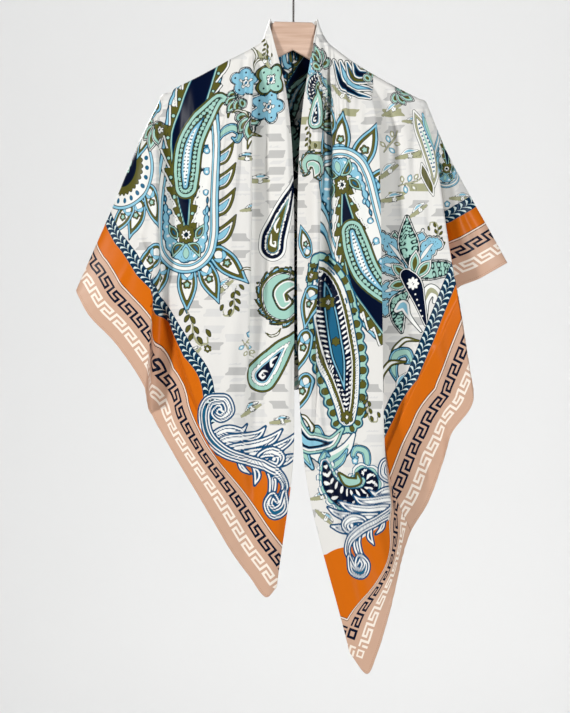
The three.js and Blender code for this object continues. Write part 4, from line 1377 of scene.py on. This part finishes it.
def make_key_group(name, chart):
    """Key band mask. cell along = whole part of 7 (run / length mod 1), cell up = whole part of 5 height.
    The mask is the chart's digit there: whole part of (row number / 2^cell), odd or even."""
    group, given, mask = new_group(name, "Mask", Run="Float", Depth="Float", Start="Float")
    level = maths("DIVIDE", maths("SUBTRACT", given["Depth"], given["Start"]), KEY_HEIGHT / len(chart))
    row = maths("FLOOR", level)
    along = maths("FRACT", maths("DIVIDE", given["Run"], KEY_LENGTH))
    power = maths("POWER", 2.0, maths("FLOOR", product(along, float(len(chart[0])))))
    total = 0.0
    for number, text in enumerate(reversed(chart)):
        odd = maths("MODULO", maths("FLOOR", maths("DIVIDE", row_number(text), power)), 2.0)
        total = maths("ADD", product(odd, maths("COMPARE", row, float(number), 0.4)), total)
    feed(mask, total)
    return group


def make_rope_group():
    """Rope mask: two rows of short curved dashes that lean towards each other, half a step apart."""
    group, given, mask = new_group("rope_dashes", "Mask", Run="Float", Depth="Float")
    rows = []
    for centre, lean, shift in ROPE_ROWS:
        across = maths("SUBTRACT", given["Depth"], centre)
        leaning = maths("ADD", given["Run"], product(across, lean))
        slanted = maths("ADD", leaning, product(across, across, 0.16))
        cell = maths("FRACT", maths("ADD", maths("DIVIDE", slanted, ROPE_PITCH), shift))
        sideways = maths("ABSOLUTE", product(maths("SUBTRACT", cell, 0.5), ROPE_PITCH))
        taper = product(maths("ABSOLUTE", across), 0.33)
        rows.append(maths("LESS_THAN", maths("ADD", sideways, taper), 1.75))
    feed(mask, maths("MAXIMUM", *rows))
    return group


def make_ink_group():
    """Ink mask: 0 to 1 in a smooth step across the edge, so that an edge is as soft as a wet print's."""
    group, given, mask = new_group("ink_edge", "Mask", Distance="Float")
    ramp = add_node(
        group, "MapRange", Value=given["Distance"], From_Min=-INK_SOFTNESS, From_Max=INK_SOFTNESS
    )
    ramp.interpolation_type = "SMOOTHSTEP"
    feed(mask, ramp.outputs["Result"])
    return group


def make_weave_group():
    """Height of the weave: fine twill ribs across the flat cloth, with slubs that drift along the threads."""
    group, given, height = new_group("satin_weave", "Height", Flat="Vector", Rib="Float")
    twill = add_node(group, "TexWave", Vector=given["Flat"], Scale=given["Rib"], Distortion=0.4)
    twill.wave_type = "BANDS"
    twill.bands_direction = "DIAGONAL"
    threads = add_node(group, "Mapping", Vector=given["Flat"], Scale=(220, 30, 1)).outputs["Vector"]
    slub = add_node(group, "TexNoise", Vector=threads, Scale=1.0, Detail=2.0)
    feed(height, maths("ADD", product(twill.outputs["Fac"], 0.35), slub.outputs["Fac"]))
    return group


dark_keys = make_key_group("dark_keys", KEY_CHART)
pale_keys = make_key_group("pale_keys", KEY_CHART[::-1])
rope_dashes = make_rope_group()
ink_edge = make_ink_group()
satin_weave = make_weave_group()
print("node groups:", [group.name for group in bpy.data.node_groups])

# %% [markdown]
# The border in numbers, in millimetres from the hem. Plain bands and broken lines lie between two depths. A
# key band begins some way along the run, so that a square with a hole can turn the scarf's corner.

# %% The border's bands
CREAM = (222, 220, 215)
ROPE_GROUND = (8, 46, 72)
ROPE_DASH = (206, 224, 222)
ROPE_DASHES = (89.0, 104.2)
# From and to, and colour: a dark line, the tan down to the hem and a pale line
BANDS = [(62.6, 63.8, (60, 30, 20)), (-1e4, 63.0, (199, 163, 140)), (61.3, 62.9, (232, 216, 202))]
# From and to, pitch, share of it that is inked, strength and colour: the dotted line and the stitches
BROKEN_LINES = [(59.9, 61.0, 1.9, 0.62, 1.0, (52, 40, 38)), (2.9, 3.6, 2.6, 0.5, 0.5, (150, 112, 88))]
# Group, start, where its run begins, shift along it, corner square, the square's hole and colour
KEY_BANDS = [
    (dark_keys, 38.6, 56.0, 0.0, (38.6, 53.0), (42.4, 49.2), (10, 18, 40)),
    (pale_keys, 16.0, 33.0, 9.0, (18.0, 29.0), (20.4, 26.6), (240, 228, 214)),
]


def print_rope(colour, run, depth, free):
    """The rope over a colour, where free is 1."""
    dashes = use_group(depth.id_data, rope_dashes, Run=run, Depth=depth)
    dashes = product(dashes, between(depth, *ROPE_DASHES))
    rope_colour = mixed(dashes, linear(ROPE_GROUND), linear(ROPE_DASH))
    return mixed(product(between(depth, ROPE_START, BORDER_DEPTH), free), colour, rope_colour)


def print_bands(colour, run, depth):
    """The lines, the tan and the two key bands with their corner squares over a colour."""
    for low, high, tone in BANDS:
        colour = mixed(between(depth, low, high), colour, linear(tone))
    for low, high, pitch, share, strength, tone in BROKEN_LINES:
        inked = maths("LESS_THAN", maths("FRACT", maths("DIVIDE", run, pitch)), share)
        colour = mixed(product(between(depth, low, high), inked, strength), colour, linear(tone))
    for group, start, run_from, shift, square, hole, tone in KEY_BANDS:
        band = product(between(depth, start, start + KEY_HEIGHT), maths("GREATER_THAN", run, run_from))
        key = use_group(depth.id_data, group, Run=maths("ADD", run, shift), Depth=depth, Start=start)
        outer = product(between(depth, *square), between(run, *square))
        inner = product(between(depth, *hole), between(run, *hole))
        for mask in (product(band, key), product(outer, maths("SUBTRACT", 1.0, inner))):
            colour = mixed(mask, colour, linear(tone))
    return colour


# %% The silk material
def new_material(name):
    """A material, its node tree and its Principled shader."""
    made = bpy.data.materials.new(name)
    made.use_nodes = True
    return made, made.node_tree, made.node_tree.nodes["Principled BSDF"]


def attribute(tree, label):
    """The three numbers of a point attribute."""
    node = tree.nodes.new("ShaderNodeAttribute")
    node.attribute_name = label
    return add_node(tree, "SeparateXYZ", Vector=node.outputs["Vector"]).outputs


def silk_material(name):
    """Printed satin: ground, inks, border, then the inks of the scroll that lie over the border."""
    silk, tree, shader = new_material(name)
    distances = [d for number in range(SCREEN_SETS) for d in attribute(tree, f"screens_{number}")]
    mask = {ink["name"]: use_group(tree, ink_edge, Distance=d) for ink, d in zip(INKS, distances)}
    run_out, depth_out, rope_here = attribute(tree, "border")
    depth, run = maths("MINIMUM", depth_out, run_out), maths("MAXIMUM", depth_out, run_out)
    free = product(maths("SUBTRACT", 1.0, mask["orange"]), maths("GREATER_THAN", rope_here, 0.0))

    colour = linear(CREAM)
    for ink in (ink for ink in INKS if ink["name"] not in TOP_INKS):
        colour = mixed(mask[ink["name"]], colour, linear(ink["colour"]))
    colour = print_bands(print_rope(colour, run, depth, free), run, depth)
    for ink in (ink for ink in INKS if ink["name"] in TOP_INKS):
        colour = mixed(mask[ink["name"]], colour, linear(ink["colour"]))

    flat_map = tree.nodes.new("ShaderNodeUVMap")
    flat_map.uv_map = "flat_cloth"
    flat = flat_map.outputs["UV"]
    weave = use_group(tree, satin_weave, Flat=flat, Rib=420.0)
    bump = add_node(tree, "Bump", Strength=0.10, Distance=0.0004, Height=weave)
    tone = add_node(tree, "TexNoise", Scale=24.0, Vector=flat).outputs["Fac"]
    rough = add_node(tree, "MapRange", Value=tone, To_Min=0.30, To_Max=0.38)
    dress(shader, Base_Color=colour, Normal=bump.outputs["Normal"], Roughness=rough.outputs["Result"],
          Specular_IOR_Level=0.08)
    return silk


silk = silk_material("printed_satin")
for node, piece in scarf_pieces.items():
    piece.data.materials.append(silk)
print("silk:", len(silk.node_tree.nodes), "nodes")

# %% [markdown]
# ## The hanger and the paper
#
# The wood and the wire keep the solids' own shapes. The wood is pale and close grained under a satin varnish,
# with grain that runs along the arms, the wire is dark drawn steel, and the paper has hardly any tone.


# %% Wood, wire and paper
def wood_material():
    """Pale wood: long noise streaks along X mix two tones and raise a faint grain."""
    wood, tree, shader = new_material("pale_hanger_wood")
    place = tree.nodes.new("ShaderNodeTexCoord").outputs["Object"]
    along = add_node(tree, "Mapping", Vector=place, Scale=(9, 160, 120)).outputs["Vector"]
    grain = add_node(tree, "TexNoise", Vector=along, Scale=1.6, Detail=6).outputs["Fac"]
    tones = two_tones(tree, grain, linear((190, 157, 135)), linear((218, 189, 169)), 0.3, 0.72)
    bump = add_node(tree, "Bump", Strength=0.12, Distance=0.0004, Height=grain)
    dress(shader, Base_Color=tones, Normal=bump.outputs["Normal"], Roughness=0.42)
    return wood


def wire_material():
    """Dark drawn steel: a metal whose tone and roughness vary with fine noise along the wire."""
    wire, tree, shader = new_material("dark_hook_wire")
    place = tree.nodes.new("ShaderNodeTexCoord").outputs["Object"]
    mottle = add_node(tree, "TexNoise", Vector=place, Scale=260).outputs["Fac"]
    tones = two_tones(tree, mottle, linear((38, 36, 36)), linear((66, 62, 60)))
    rough = add_node(tree, "MapRange", Value=mottle, To_Min=0.28, To_Max=0.45)
    dress(shader, Base_Color=tones, Roughness=rough.outputs["Result"], Metallic=0.85)
    return wire


def paper_material():
    """Pale matt paper: two almost equal tones in slow noise. These two colours are linear."""
    paper, tree, shader = new_material("pale_paper")
    cloudy = add_node(tree, "TexNoise", Scale=0.6).outputs["Fac"]
    tones = two_tones(tree, cloudy, (0.70, 0.70, 0.692, 1), (0.72, 0.72, 0.715, 1))
    dress(shader, Base_Color=tones, Roughness=0.9)
    return paper


for node, material in (("hanger_wood", wood_material()), ("hanger_hook", wire_material())):
    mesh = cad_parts[node].data
    mesh.materials.clear()
    mesh.materials.append(material)
backdrop.data.materials.append(paper_material())
print("materials:", [material.name for material in bpy.data.materials])
